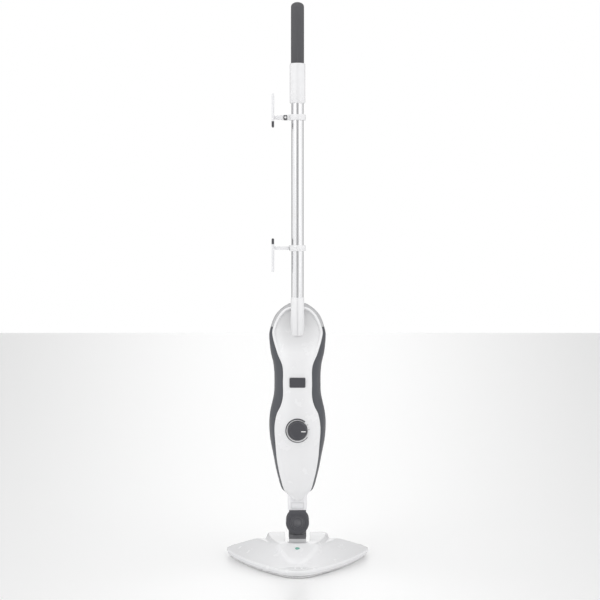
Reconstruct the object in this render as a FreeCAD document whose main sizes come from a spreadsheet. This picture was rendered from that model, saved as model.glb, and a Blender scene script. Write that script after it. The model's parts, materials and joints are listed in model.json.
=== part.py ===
import FreeCAD, Part
import math
import os
import re
import Sketcher
from FreeCAD import Placement, Rotation, Vector

# Upright steam mop, standing. Millimetres, +Z up, origin on the floor under the tube's axis.
# The front (controls) faces -Y, the rear (water tank, hand loop) faces +Y, the cord hooks are on -X.

SIZES = {
    # clearances
    "fit_gap": 0.05,
    "seam_gap": 0.2,
    "slide_gap": 0.4,
    "soft_gap": 0.3,
    # floor head
    "head_half_width": 155,
    "head_front": 115,
    "head_rear": 92,
    "head_nose_r": 52,
    "head_side_bow": 15,
    "head_corner_r": 13,
    "pad_height": 5.2,
    "pad_inset": 2.5,
    "hook_strip_height": 0.5,
    "base_height": 4.5,
    "base_inset": 1.5,
    "cover_edge_height": 6.5,
    "cover_wall": 2.4,
    "wing_run": 24,
    "wing_rise": 10,
    "crown_run": 52,
    "crown_rise": 27,
    "boss_half_width": 63,
    "boss_front": 72,
    "boss_rear": 80,
    "boss_nose_r": 24,
    "boss_side_bow": 9,
    "boss_corner_r": 8,
    "boss_flare": 9,
    "boss_height": 34,
    "boss_step": 7,
    "boss_slope": 23,
    "pocket_wall": 2.4,
    "manifold_height": 11,
    "badge_r": 5,
    # tilt and swivel joint
    "drum_r": 18,
    "drum_half_length": 17.5,
    "drum_clearance": 8,
    "axle_r": 2.5,
    "tilt_rise": 28,
    "swivel_rise": 45,
    "swivel_r": 23.6,
    "eye_r": 20.4,
    "eye_half_depth": 10.3,
    "plate_depth": 6,
    "stem_half_width": 18,
    "pin_r": 4,
    "housing_half_width": 17.5,
    "housing_rise": 25,
    # neck
    "neck_width": 39,
    "neck_depth": 27,
    "neck_length": 50,
    "neck_wall": 3,
    "neck_button_width": 25,
    "neck_button_height": 11,
    "neck_button_travel": 2,
    # steamer body
    "neck_showing": 18.5,
    "body_height": 403,
    "body_half_width": 58,
    "body_front_depth": 42,
    "body_rear_depth": 58,
    "body_wall": 2.4,
    "split_y": 10,
    "arch_share": 0.88,
    "tank_rise": 32,
    "tank_height": 230,
    "tank_travel": 70,
    "filler_r": 12,
    # controls
    "knob_rise": 148,
    "knob_r": 19.3,
    "knob_depth": 12,
    "dial_r": 24.4,
    "dial_depth": 7,
    "shaft_r": 3,
    "button_rise": 244,
    "button_width": 32.4,
    "button_height": 20.3,
    "button_depth": 7,
    "button_travel": 2,
    # inside
    "boiler_r": 17,
    "boiler_length": 74,
    "boiler_rise": 52,
    "pump_r": 13,
    "pump_length": 54,
    "pump_rise": 196,
    "board_height": 54,
    "hose_r": 3,
    # tube, socket and collar
    "tube_r": 12.5,
    "tube_wall": 1.2,
    "tube_length": 517,
    "socket_rise": 12,
    "socket_grip": 60,
    "socket_wall": 1.1,
    "socket_flare": 1.7,
    "socket_base": 18,
    "collar_r": 16,
    "collar_length": 82,
    "collar_grip": 60,
    # hand loop
    "loop_half_thickness": 9.5,
    "grip_half_width": 13.5,
    "loop_height": 131,
    "loop_depth": 73,
    "loop_bend_r": 26,
    "grip_wall": 2.4,
    # cord hooks
    "ring_wall": 4.5,
    "ring_height": 12,
    "lower_hook_rise": 101,
    "upper_hook_drop": 28.5,
    "hook_reach": 53,
    "paddle_thickness": 4,
    "paddle_half_depth": 9,
    "paddle_long": 49,
    "paddle_short": 20,
    "arm_height": 14,
}

# Places worked out from the sizes, each one named once.
PLACES = {
    "strip_bottom": "(pad_height + soft_gap)",
    "base_bottom": "(strip_bottom + hook_strip_height)",
    "base_top": "(base_bottom + base_height)",
    "edge_top": "(base_top + cover_edge_height)",
    "boss_top": "(edge_top + boss_height)",
    "tilt_z": "(edge_top + tilt_rise)",
    "pocket_r": "(drum_r + drum_clearance)",
    "pocket_floor": "(tilt_z - drum_r - 1)",
    "swivel_z": "(tilt_z + swivel_rise)",
    "housing_top": "(swivel_z + housing_rise)",
    "plate_in": "(eye_half_depth + slide_gap)",
    "plate_out": "(plate_in + plate_depth)",
    "body_bottom": "(housing_top + neck_showing)",
    "body_top": "(body_bottom + body_height)",
    "neck_top": "(housing_top + neck_length)",
    "knob_z": "(body_bottom + knob_rise)",
    "button_z": "(body_bottom + button_rise)",
    "tank_bottom": "(body_bottom + tank_rise)",
    "tank_top": "(tank_bottom + tank_height)",
    "tank_front": "(split_y + body_wall + slide_gap)",
    "boiler_z": "(body_bottom + boiler_rise)",
    "boiler_y": "(split_y - 5 - boiler_r)",
    "boiler_top": "(boiler_z + boiler_length)",
    "pump_z": "(body_bottom + pump_rise)",
    "board_bottom": "(button_z + button_height / 2 + 8)",
    "socket_top": "(body_top + socket_rise)",
    "socket_bore": "(tube_r + fit_gap)",
    "socket_seat": "(socket_top - socket_grip)",
    "socket_bottom": "(socket_seat - socket_base)",
    "tube_top": "(socket_seat + tube_length)",
    "collar_bottom": "(tube_top - collar_grip)",
    "collar_top": "(collar_bottom + collar_length)",
    "loop_top": "(collar_top + loop_height)",
    "lower_hook_z": "(socket_top + lower_hook_rise)",
    "upper_hook_z": "(collar_bottom - upper_hook_drop)",
    "ring_r": "(tube_r + ring_wall)",
}

# Body stations from bottom to top, as shares of the body's height, half width, half width again
# (edge of the front panel), front depth and rear depth.
STATIONS = (
    (0.000, 0.236, 0.200, 0.40, 0.26),
    (0.033, 0.395, 0.362, 0.54, 0.36),
    (0.057, 0.560, 0.474, 0.64, 0.47),
    (0.103, 0.666, 0.569, 0.76, 0.64),
    (0.149, 0.750, 0.647, 0.85, 0.78),
    (0.216, 0.840, 0.726, 0.93, 0.90),
    (0.285, 0.938, 0.766, 0.98, 0.97),
    (0.375, 1.000, 0.803, 1.00, 1.00),
    (0.444, 0.971, 0.728, 0.985, 0.99),
    (0.489, 0.907, 0.584, 0.96, 0.975),
    (0.533, 0.840, 0.509, 0.935, 0.955),
    (0.598, 0.817, 0.509, 0.90, 0.93),
    (0.685, 0.848, 0.524, 0.83, 0.90),
    (0.752, 0.950, 0.709, 0.70, 0.86),
    (0.836, 1.003, 0.879, 0.42, 0.80),
    (0.873, 0.960, 0.869, 0.33, 0.75),
    (0.935, 0.798, 0.686, 0.20, 0.62),
    (0.973, 0.566, 0.390, 0.13, 0.46),
    (1.000, 0.293, 0.000, 0.07, 0.24),
)
SECTION_POWER = 2.5
BIG = 400

doc = FreeCAD.newDocument("steam_mop")
sheet = doc.addObject("Spreadsheet::Sheet", "dims")
for row, (alias, number) in enumerate(SIZES.items(), start=1):
    sheet.set(f"A{row}", alias)
    sheet.set(f"B{row}", str(number))
    sheet.setAlias(f"B{row}", alias)
doc.recompute()

nodes = []


# ---------------------------------------------------------------- sizes and expressions

def expr(text):
    """Spell out places and point every size at its cell."""
    def spell(match):
        word = match.group(0)
        if word in PLACES:
            return expr(PLACES[word])
        return "dims." + word if word in SIZES else word
    return re.sub(r"[a-z_][a-z0-9_]*", spell, str(text))


def value(text):
    return float(sheet.evalExpression(expr(text)))


def bind(thing, **sizes):
    for name, text in sizes.items():
        thing.setExpression(name, expr(text))
    return thing


def place(thing, at, turn=None):
    if turn is not None:
        thing.Placement = Placement(Vector(), turn)
    for axis, text in zip("xyz", at):
        thing.setExpression("Placement.Base." + axis, expr(text))
    return thing


TURNS = {
    "z": Rotation(),
    "x": Rotation(Vector(0, 1, 0), 90),
    "y": Rotation(Vector(1, 0, 0), -90),
}


# ---------------------------------------------------------------- primitives and booleans

def box(name, length, width, height, at):
    """A box centred on at in X and Y, standing on at in Z."""
    made = bind(doc.addObject("Part::Box", name), Length=length, Width=width, Height=height)
    x, y, z = at
    return place(made, (f"{x} - ({length}) / 2", f"{y} - ({width}) / 2", z))


def rod(name, radius, length, at, along="z"):
    made = bind(doc.addObject("Part::Cylinder", name), Radius=radius, Height=length)
    return place(made, at, TURNS[along])


def cone(name, radius_start, radius_end, length, at, along="z"):
    made = doc.addObject("Part::Cone", name)
    bind(made, Radius1=radius_start, Radius2=radius_end, Height=length)
    return place(made, at, TURNS[along])


def cut(name, base, *tools):
    made = doc.addObject("Part::Cut", name)
    made.Base = base
    made.Tool = tools[0] if len(tools) == 1 else fuse(name + "_tools", *tools)
    return made


def fuse(name, *shapes):
    made = doc.addObject("Part::MultiFuse", name)
    made.Shapes = list(shapes)
    return made


def common(name, *shapes):
    made = doc.addObject("Part::MultiCommon", name)
    made.Shapes = list(shapes)
    return made


def tube(name, radius, bore, length, at, along="z"):
    x, y, z = at
    inner_at = {"x": (f"{x} - 1", y, z), "y": (x, f"{y} - 1", z), "z": (x, y, f"{z} - 1")}[along]
    outside = rod(name + "_outside", radius, length, at, along)
    inside = rod(name + "_inside", bore, f"{length} + 2", inner_at, along)
    return cut(name, outside, inside)


def feature(name, shape):
    made = doc.addObject("Part::Feature", name)
    made.Shape = shape
    made.Placement = Placement()
    return made


def node(thing, label=None):
    """Keep an object as one piece of the mop."""
    thing.Label = label or thing.Name
    nodes.append(thing)
    return thing


# ---------------------------------------------------------------- sketched bodies

def origin_plane(body, role):
    return next(item for item in body.Origin.OriginFeatures if item.Role == role)


def sketch_polygon(body, name, role, points):
    """A closed sketch whose corners are each held by two distances from the sketch's origin."""
    sketch = body.newObject("Sketcher::SketchObject", name)
    sketch.AttachmentSupport = [(origin_plane(body, role), "")]
    sketch.MapMode = "FlatFace"
    total = len(points)
    spots = [Vector(value(u), value(v), 0) for u, v in points]
    for index, spot in enumerate(spots):
        sketch.addGeometry(Part.LineSegment(spot, spots[(index + 1) % total]), False)
    for index in range(total):
        sketch.addConstraint(Sketcher.Constraint("Coincident", index, 2, (index + 1) % total, 1))
    for index, (u, v) in enumerate(points):
        for kind, text in (("DistanceX", u), ("DistanceY", v)):
            label = f"{kind[-1].lower()}{index}"
            number = value(text)
            held = sketch.addConstraint(Sketcher.Constraint(kind, -1, 1, index, 1, number))
            sketch.renameConstraint(held, label)
            sketch.setExpression("Constraints." + label, expr(text))
    return sketch


def turned(name, profile, at=("0", "0", "0"), along="z"):
    """A turned piece: radius and height pairs, spun about the local Z axis."""
    body = doc.addObject("PartDesign::Body", name)
    sketch = sketch_polygon(body, name + "_profile", "XZ_Plane", profile)
    spin = body.newObject("PartDesign::Revolution", name + "_turn")
    spin.Profile = sketch
    spin.ReferenceAxis = (sketch, ["V_Axis"])
    spin.Angle = 360
    return place(body, at, TURNS[along])


def plate(name, outline, thickness, at=("0", "0", "0"), role="XY_Plane", round_r=None, both=False):
    """A padded outline, with its upright edges rounded when round_r is given."""
    body = doc.addObject("PartDesign::Body", name)
    sketch = sketch_polygon(body, name + "_outline", role, outline)
    pad = body.newObject("PartDesign::Pad", name + "_pad")
    pad.Profile = sketch
    pad.setExpression("Length", expr(thickness))
    pad.Midplane = both
    if round_r is not None:
        doc.recompute()
        normal = {"XY_Plane": Vector(0, 0, 1), "XZ_Plane": Vector(0, 1, 0)}[role]
        upright = []
        for index, edge in enumerate(pad.Shape.Edges, start=1):
            direction = edge.lastVertex().Point - edge.firstVertex().Point
            if abs(direction.normalize().dot(normal)) > 0.99:
                upright.append(f"Edge{index}")
        rounding = body.newObject("PartDesign::Fillet", name + "_rounding")
        rounding.Base = (pad, upright)
        rounding.setExpression("Radius", expr(round_r))
    return place(body, at)


def rectangle(width, height):
    return [
        (f"-({width}) / 2", f"-({height}) / 2"),
        (f"({width}) / 2", f"-({height}) / 2"),
        (f"({width}) / 2", f"({height}) / 2"),
        (f"-({width}) / 2", f"({height}) / 2"),
    ]


# ---------------------------------------------------------------- free-form outlines

def shield_wire(kind, inset, height):
    """Plan outline of the head and of its raised middle: round nose, bowed sides, straight back."""
    half_width = value(kind + "_half_width")
    front = value(kind + "_front")
    rear = value(kind + "_rear")
    nose_r = value(kind + "_nose_r")
    corner_r = value(kind + "_corner_r")
    nose_x = nose_r * math.sin(math.radians(45))
    nose = Vector(nose_x, nose_r - nose_x - front, 0)
    corner = Vector(half_width, rear, 0)
    side = corner - nose
    outward = Vector(side.y, -side.x, 0).normalize()
    middle = nose + side * 0.5 + outward * value(kind + "_side_bow")

    def mirrored(point):
        return Vector(-point.x, point.y, 0)

    edges = [
        Part.Arc(mirrored(nose), Vector(0, -front, 0), nose),
        Part.Arc(nose, middle, corner),
        Part.LineSegment(corner, mirrored(corner)),
        Part.Arc(mirrored(corner), mirrored(middle), mirrored(nose)),
    ]
    wire = Part.Wire([edge.toShape() for edge in edges])
    wire = wire.makeOffset2D(-(corner_r + inset)).makeOffset2D(corner_r)
    wire.translate(Vector(0, 0, height))
    return wire


def prism(wire, height):
    return Part.Face(wire).extrude(Vector(0, 0, height))


def cover_form(inset):
    """Outside of the head cover when inset is 0, inside of its wall otherwise."""
    base = value("base_top") - inset
    edge = value("edge_top") - inset
    skirt = prism(shield_wire("head", inset, base), edge - base)
    levels = [
        shield_wire("head", inset, edge),
        shield_wire("head", inset + value("wing_run"), edge + value("wing_rise")),
        shield_wire("head", inset + value("crown_run"), edge + value("crown_rise")),
    ]
    wings = Part.makeLoft(levels, True, True)
    top = value("boss_top") - inset
    flare = value("boss_flare")
    boss = Part.makeLoft(
        [shield_wire("boss", inset - flare, base), shield_wire("boss", inset, top)], True, True)
    front = -value("boss_front") - flare
    slope = [
        Vector(-BIG, -value("head_front"), base),
        Vector(-BIG, front, top - value("boss_slope") - 3),
        Vector(-BIG, -value("pocket_r"), top),
        Vector(-BIG, value("head_rear"), top),
        Vector(-BIG, value("head_rear"), base),
    ]
    under = Part.Face(Part.makePolygon(slope + slope[:1])).extrude(Vector(2 * BIG, 0, 0))
    under_wings = under.copy()
    under_wings.translate(Vector(0, 0, -value("boss_step")))
    return skirt.fuse([wings.common(under_wings), boss.common(under)]).removeSplitter()


def body_section(station, inset, towards):
    """Half a level curve of the steamer body, closed by a straight line along the split plane."""
    rise, width, _, front, rear = station
    bottom, height, split = value("body_bottom"), value("body_height"), value("split_y")
    level = bottom + min(max(rise * height, inset), height - inset)
    half_width = width * value("body_half_width") - inset
    if towards == "front":
        depth = -(front * value("body_front_depth") + split - inset)
    else:
        depth = rear * value("body_rear_depth") - split - inset
    points = []
    for step in range(11):
        angle = math.radians(18 * step)
        across = math.copysign(abs(math.cos(angle)) ** (2 / SECTION_POWER), math.cos(angle))
        along = abs(math.sin(angle)) ** (2 / SECTION_POWER)
        points.append(Vector(half_width * across, split + depth * along, level))
    curve = Part.BSplineCurve()
    curve.interpolate(Points=points)
    return Part.Wire([curve.toShape(), Part.LineSegment(points[-1], points[0]).toShape()])


def body_form(inset, towards):
    return Part.makeLoft([body_section(station, inset, towards) for station in STATIONS], True, False)


def panel_form():
    """The front panel's outline, run through the whole body from front to rear."""
    bottom, height = value("body_bottom"), value("body_height")
    half = value("body_half_width")
    right = [Vector(row[2] * half, 0, bottom + row[0] * height) for row in STATIONS[:-1]]
    crown = Vector(0, 0, bottom + 0.987 * height)
    left = [Vector(-point.x, 0, point.z) for point in reversed(right)]
    curve = Part.BSplineCurve()
    curve.interpolate(Points=right + [crown] + left)
    foot_right = Vector(right[0].x, 0, bottom - 5)
    foot_left = Vector(-right[0].x, 0, bottom - 5)
    edges = [
        Part.LineSegment(foot_right, right[0]).toShape(),
        curve.toShape(),
        Part.LineSegment(left[-1], foot_left).toShape(),
        Part.LineSegment(foot_left, foot_right).toShape(),
    ]
    face = Part.Face(Part.Wire(edges))
    face.translate(Vector(0, -BIG, 0))
    return face.extrude(Vector(0, BIG + value("split_y"), 0))


def station_at(rise_mm, column):
    """A station column, read between rows at a height above the body's bottom."""
    share = rise_mm / value("body_height")
    for below, above in zip(STATIONS, STATIONS[1:]):
        if share <= above[0]:
            part = (share - below[0]) / (above[0] - below[0])
            return below[column] + part * (above[column] - below[column])
    return STATIONS[-1][column]


def hand_loop(inset):
    """The hand loop: an oval bar bent into a rounded frame, with a stub down to the collar."""
    thick = value("loop_half_thickness") - inset
    wide = value("grip_half_width") - inset
    low = value("collar_top + loop_half_thickness")
    high = value("loop_top - loop_half_thickness")
    near = 0.0
    far = value("loop_depth - 2 * loop_half_thickness")
    bend = value("loop_bend_r")

    def bar(centre, direction, length, thin_axis):
        oval = Part.Ellipse(centre + Vector(1, 0, 0) * wide, centre + thin_axis * thick, centre)
        return Part.Face(Part.Wire(oval.toShape())).extrude(direction * length)

    def elbow(centre, outward):
        start = centre + outward * bend
        oval = Part.Ellipse(start + Vector(1, 0, 0) * wide, start + outward * thick, start)
        face = Part.Face(Part.Wire(oval.toShape()))
        return face.revolve(centre, Vector(1, 0, 0), 90)

    up = Vector(0, 0, 1)
    back = Vector(0, 1, 0)
    pieces = [
        bar(Vector(0, near, low + bend), up, high - low - 2 * bend, back),
        bar(Vector(0, far, low + bend), up, high - low - 2 * bend, back),
        bar(Vector(0, near + bend, low), back, far - near - 2 * bend, up),
        bar(Vector(0, near + bend, high), back, far - near - 2 * bend, up),
        elbow(Vector(0, far - bend, low + bend), -up),
        elbow(Vector(0, far - bend, high - bend), back),
        elbow(Vector(0, near + bend, high - bend), up),
        elbow(Vector(0, near + bend, low + bend), -back),
        bar(Vector(0, near, value("collar_top") + inset), up, low + bend - value("collar_top") - inset, back),
    ]
    return pieces[0].fuse(pieces[1:]).removeSplitter()


def hose(name, radius, points, bend_r):
    """A round hose along straight runs joined by arcs."""
    corners = [Vector(*point) for point in points]
    edges = []
    start = corners[0]
    for before, corner, after in zip(corners, corners[1:], corners[2:]):
        towards = (before - corner).normalize()
        away = (after - corner).normalize()
        first = corner + towards * bend_r
        last = corner + away * bend_r
        inside = (towards + away).normalize()
        middle = corner + inside * (bend_r * (math.sqrt(2) - 1))
        edges.append(Part.LineSegment(start, first).toShape())
        edges.append(Part.Arc(first, middle, last).toShape())
        start = last
    edges.append(Part.LineSegment(start, corners[-1]).toShape())
    path = Part.Wire(edges)
    aim = (corners[1] - corners[0]).normalize()
    ring = Part.Wire(Part.Circle(corners[0], aim, radius).toShape())
    return feature(name, path.makePipeShell([ring], True, False))


def copies(name, source, spots):
    """Several of one small piece, kept together."""
    doc.recompute()
    shapes = []
    for spot in spots:
        shape = source.Shape.copy()
        shape.translate(Vector(*spot))
        shapes.append(shape)
    return feature(name, Part.Compound(shapes))


# ---------------------------------------------------------------- floor head

pad_shape = prism(shield_wire("head", value("pad_inset"), 0), value("pad_height"))
node(feature("mop_pad", pad_shape))

strips = [box(f"hook_strip_{side}", "90", "22", "hook_strip_height", (x, "20", "strip_bottom"))
          for side, x in (("left", "-70"), ("right", "70"))]
strips.append(box("hook_strip_front", "50", "22", "hook_strip_height", ("0", "-70", "strip_bottom")))
hook_strips = doc.addObject("Part::Compound", "hook_strips")
hook_strips.Links = strips
node(hook_strips)

base_slab = feature("base_slab", prism(shield_wire("head", value("base_inset"), value("base_bottom")),
                                       value("base_height")))
steam_ports = [rod(f"steam_port_{index}", "2", "base_height + 2", (x, y, "base_bottom - 1"))
               for index, (x, y) in enumerate((("-30", "-6"), ("-10", "-6"), ("10", "-6"), ("30", "-6")))]
SCREW_SPOTS = ((-95, 45), (95, 45), (-50, -35), (50, -35))
screw_holes = [rod(f"base_screw_hole_{index}", "4.2", "base_height + 2", (x, y, "base_bottom - 1"))
               for index, (x, y) in enumerate(SCREW_SPOTS)]
node(cut("base_plate", base_slab, *steam_ports, *screw_holes))

cover_outside = feature("cover_outside", cover_form(0))
cover_inside = feature("cover_inside", cover_form(value("cover_wall")))
cover_skin = cut("cover_skin", cover_outside, cover_inside)
tub_round = rod("tub_round", "pocket_r + pocket_wall", "100", ("0", "0", "pocket_floor - pocket_wall"))
tub_slot = box("tub_slot", "2 * (pocket_r + pocket_wall)", "head_rear", "100",
               ("0", "head_rear / 2", "pocket_floor - pocket_wall"))
tub = common("tub", fuse("tub_block", tub_round, tub_slot), cover_outside)
pocket_round = rod("pocket_round", "pocket_r", "100", ("0", "0", "pocket_floor"))
pocket_slot = box("pocket_slot", "2 * pocket_r", "head_rear + 20", "100",
                  ("0", "head_rear / 2 + 10", "pocket_floor"))
axle_bore = rod("axle_bore", "axle_r + fit_gap", "2 * (pocket_r + pocket_wall + 3)",
                ("-(pocket_r + pocket_wall + 3)", "0", "tilt_z"), "x")
axle_bosses = [rod(f"axle_boss_{side}", "axle_r + 3.5", "3", (x, "0", "tilt_z"), "x")
               for side, x in (("left", "-(pocket_r + pocket_wall + 2.9)"),
                               ("right", "pocket_r + pocket_wall - 0.1"))]
screw_posts = [common(f"screw_post_{index}", rod(f"screw_stock_{index}", "4", "60", (x, y, "base_top")),
                      cover_outside)
               for index, (x, y) in enumerate(SCREW_SPOTS)]
post_holes = [rod(f"post_hole_{index}", "1.55", "cover_edge_height + 4", (x, y, "base_top - 1"))
              for index, (x, y) in enumerate(SCREW_SPOTS)]
cover_solid = fuse("cover_solid", cover_skin, tub, *axle_bosses, *screw_posts)
node(cut("head_cover", cover_solid, pocket_round, pocket_slot, axle_bore, *post_holes))

manifold_block = box("manifold_block", "86", "34", "manifold_height", ("0", "-6", "base_top"))
manifold_room = box("manifold_room", "80", "28", "manifold_height - 4", ("0", "-6", "base_top + 2"))
manifold_ports = [rod(f"manifold_port_{index}", "2", "3", (x, "-6", "base_top - 0.5"))
                  for index, x in enumerate(("-30", "-10", "10", "30"))]
node(cut("steam_manifold", manifold_block, manifold_room, *manifold_ports))

base_screw = turned("base_screw", [
    ("0", "0"), ("4", "0"), ("4", "2"), ("1.5", "3.2"), ("1.5", "12"), ("0", "12")])
node(copies("head_screws", base_screw, [(x, y, value("base_bottom + 0.6")) for x, y in SCREW_SPOTS]))

badge = turned("head_badge", [("0", "0"), ("badge_r", "0"), ("badge_r", "0.8"), ("0", "0.8")])
badge_slope = math.degrees(math.atan2(
    value("boss_slope + 3"), value("boss_front + boss_flare - pocket_r")))
badge.Placement = Placement(Vector(), Rotation(Vector(1, 0, 0), badge_slope))
place(badge, ("0", "-(pocket_r + 16)",
              "boss_top - 16 * (boss_slope + 3) / (boss_front + boss_flare - pocket_r) + 0.02"))
node(badge)

# ---------------------------------------------------------------- tilt and swivel joint

drum_solid = rod("drum_solid", "drum_r", "2 * drum_half_length", ("-drum_half_length", "0", "tilt_z"), "x")
drum_bore = rod("drum_bore", "axle_r", "2 * drum_half_length + 2",
                ("-drum_half_length - 1", "0", "tilt_z"), "x")
node(cut("tilt_drum", drum_solid, drum_bore))
node(rod("tilt_axle", "axle_r", "2 * (pocket_r + pocket_wall + 2)",
         ("-(pocket_r + pocket_wall + 2)", "0", "tilt_z"), "x"))

eye = rod("eye_disc", "eye_r", "2 * eye_half_depth", ("0", "-eye_half_depth", "swivel_z"), "y")
stem = box("eye_stem", "2 * stem_half_width", "2 * eye_half_depth", "swivel_rise - stem_half_width",
           ("0", "0", "tilt_z"))
saddle = box("saddle_block", "2 * stem_half_width - 1", "28", "swivel_rise - swivel_r - 1",
             ("0", "0", "tilt_z"))
saddle_seat = rod("saddle_seat", "drum_r", "2 * stem_half_width + 2", ("-stem_half_width - 1", "0", "tilt_z"), "x")
eye_bore = rod("eye_bore", "pin_r + fit_gap", "2 * eye_half_depth + 2",
               ("0", "-eye_half_depth - 1", "swivel_z"), "y")
node(cut("swivel_knuckle", fuse("knuckle_solid", eye, stem, saddle), saddle_seat, eye_bore))

housing_disc = rod("housing_disc", "swivel_r", "2 * plate_out", ("0", "-plate_out", "swivel_z"), "y")
housing_body = plate("housing_block", [
    ("-housing_half_width", "15"), ("housing_half_width", "15"),
    ("housing_half_width", "housing_rise - 3"), ("housing_half_width - 3", "housing_rise"),
    ("-housing_half_width + 3", "housing_rise"), ("-housing_half_width", "housing_rise - 3")],
    "2 * plate_out", ("0", "0", "swivel_z"), "XZ_Plane", None, True)
housing_gap = rod("housing_gap", "eye_r + slide_gap", "2 * plate_in", ("0", "-plate_in", "swivel_z"), "y")
housing_open = box("housing_open", "2 * swivel_r + 10", "2 * plate_in", "swivel_r + 15",
                   ("0", "0", "swivel_z - swivel_r"))
housing_bore = rod("housing_bore", "pin_r", "2 * plate_out + 2", ("0", "-plate_out - 1", "swivel_z"), "y")
cap_seats = [rod(f"cap_seat_{side}", "15", "1.2", ("0", y, "swivel_z"), "y")
             for side, y in (("front", "-plate_out - 0.2"), ("rear", "plate_out - 1"))]
nozzle_bore = rod("nozzle_bore", "5.1", "4", ("0", "0", "housing_top - 3"))
steam_hole = rod("steam_hole", "2.2", "8", ("0", "0", "housing_top - 6"))
node(cut("swivel_housing", fuse("housing_solid", housing_disc, housing_body),
         housing_gap, housing_open, housing_bore, *cap_seats, nozzle_bore, steam_hole))
node(rod("swivel_pin", "pin_r", "2 * (plate_out - 1)", ("0", "-(plate_out - 1)", "swivel_z"), "y"))
node(turned("swivel_cap_front", [
    ("0", "0"), ("15", "0"), ("15", "-1.4"), ("13.4", "-1.8"), ("12", "-1.2"), ("0", "-1.2")],
    ("0", "-plate_out + 1", "swivel_z"), "y"))
node(turned("swivel_cap_rear", [
    ("0", "0"), ("15", "0"), ("15", "1.4"), ("13.4", "1.8"), ("12", "1.2"), ("0", "1.2")],
    ("0", "plate_out - 1", "swivel_z"), "y"))

# ---------------------------------------------------------------- neck

neck_solid = plate("neck_solid", rectangle("neck_width", "neck_depth"), "neck_length",
                   ("0", "0", "housing_top"), "XY_Plane", "7")
neck_room = box("neck_room", "neck_width - 2 * neck_wall", "neck_depth - 2 * neck_wall", "neck_length",
                ("0", "0", "housing_top + neck_wall"))
neck_button_hole = box("neck_button_hole", "neck_button_width + 2 * slide_gap", "neck_wall + 4",
                       "neck_button_height + 2 * slide_gap",
                       ("0", "-neck_depth / 2", "housing_top + 4 - slide_gap"))
neck_nozzle_hole = rod("neck_nozzle_hole", "4", "neck_wall + 2", ("0", "0", "housing_top - 1"))
node(cut("neck_tube", neck_solid, neck_room, neck_button_hole, neck_nozzle_hole))
node(box("neck_release_button", "neck_button_width", "neck_wall + 1.5", "neck_button_height",
         ("0", "-neck_depth / 2 + (neck_wall + 1.5) / 2 - 0.6", "housing_top + 4")))
node(tube("steam_nozzle", "3.9", "2.2", "boiler_z - housing_top + 3", ("0", "0", "housing_top - 3")))
o_ring = doc.addObject("Part::Torus", "nozzle_o_ring")
bind(o_ring, Radius1="4.45", Radius2="0.5")
node(place(o_ring, ("0", "0", "housing_top - 1.5")))

# ---------------------------------------------------------------- steamer body shells

front_outside = feature("front_outside", body_form(0, "front"))
front_inside = feature("front_inside", body_form(value("body_wall"), "front"))
rear_outside = feature("rear_outside", body_form(0, "rear"))
rear_inside = feature("rear_inside", body_form(value("body_wall"), "rear"))
panel_zone = feature("panel_zone", panel_form())
front_skin = cut("front_skin", front_outside, front_inside)
rear_skin = cut("rear_skin", rear_outside, rear_inside)
socket_way = cone("socket_way", "tube_r + socket_wall + socket_flare + seam_gap", "tube_r + socket_wall + seam_gap",
                  "socket_top - socket_bottom", ("0", "0", "socket_bottom"))
neck_way = box("neck_way", "neck_width + 2 * seam_gap", "neck_depth + 2 * seam_gap", "neck_length + 6",
               ("0", "0", "housing_top"))

dial_way = rod("dial_way", "dial_r - 1.4 + seam_gap", "30", ("0", "-body_front_depth - 15", "knob_z"), "y")
button_way = box("button_way", "button_width + 2 * slide_gap", "40", "button_height + 2 * slide_gap",
                 ("0", "-body_front_depth", "button_z - button_height / 2 - slide_gap"))
node(cut("front_shell", common("front_zone", front_skin, panel_zone), socket_way, neck_way, dial_way,
         button_way))

trim_skin = cut("trim_skin", front_skin, panel_zone, socket_way, neck_way)
arch_z = f"body_bottom + arch_share * body_height"
below_arch = {side: box(f"below_arch_{side}", BIG, BIG, "arch_share * body_height + 50",
                        (x, "0", "body_bottom - 50"))
              for side, x in (("left", f"-{BIG} / 2"), ("right", f"{BIG} / 2"))}
above_arch = {side: box(f"above_arch_{side}", BIG, BIG, BIG, (x, "0", arch_z))
              for side, x in (("left", f"-{BIG} / 2"), ("right", f"{BIG} / 2"))}
for side in ("left", "right"):
    node(common(f"side_trim_{side}", trim_skin, below_arch[side]))
    node(common(f"top_trim_{side}", trim_skin, above_arch[side]))

upper_zone = box("upper_zone", BIG, BIG, BIG, ("0", "0", "tank_top + slide_gap"))
lower_zone = box("lower_zone", BIG, BIG, "tank_rise + 50", ("0", "0", "body_bottom - 50 - slide_gap"))
upper_shelf = box("upper_shelf", BIG, BIG, "body_wall", ("0", "0", "tank_top + slide_gap"))
lower_shelf = box("lower_shelf", BIG, BIG, "body_wall", ("0", "0", "tank_bottom - slide_gap - body_wall"))
gland_way = rod("gland_way", "7.1", "60", ("0", "split_y + 15", "tank_top + 45"), "y")
release_way = box("release_way", "18 + 2 * slide_gap", "60", "10 + 2 * slide_gap",
                  ("0", "split_y + 30", "socket_seat + 14 - slide_gap"))
upper_skin = common("upper_skin", rear_skin, upper_zone)
upper_floor = common("upper_floor", rear_outside, upper_shelf)
node(cut("rear_upper_shell", fuse("rear_upper_solid", upper_skin, upper_floor),
         socket_way, gland_way, release_way))
lower_skin = common("lower_skin", rear_skin, lower_zone)
lower_roof = common("lower_roof", rear_outside, lower_shelf)
steam_way = rod("steam_way", "4.3", "neck_length + 60", ("0", "0", "housing_top"))
node(cut("rear_lower_shell", fuse("rear_lower_solid", lower_skin, lower_roof), neck_way, steam_way))
bulkhead_zone = box("bulkhead_zone", BIG, "body_wall", "tank_height",
                    ("0", "split_y + body_wall / 2", "tank_bottom"))
valve_way = rod("valve_way", "5.6", "20", ("26", "split_y - 5", "tank_bottom + 14"), "y")
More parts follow.
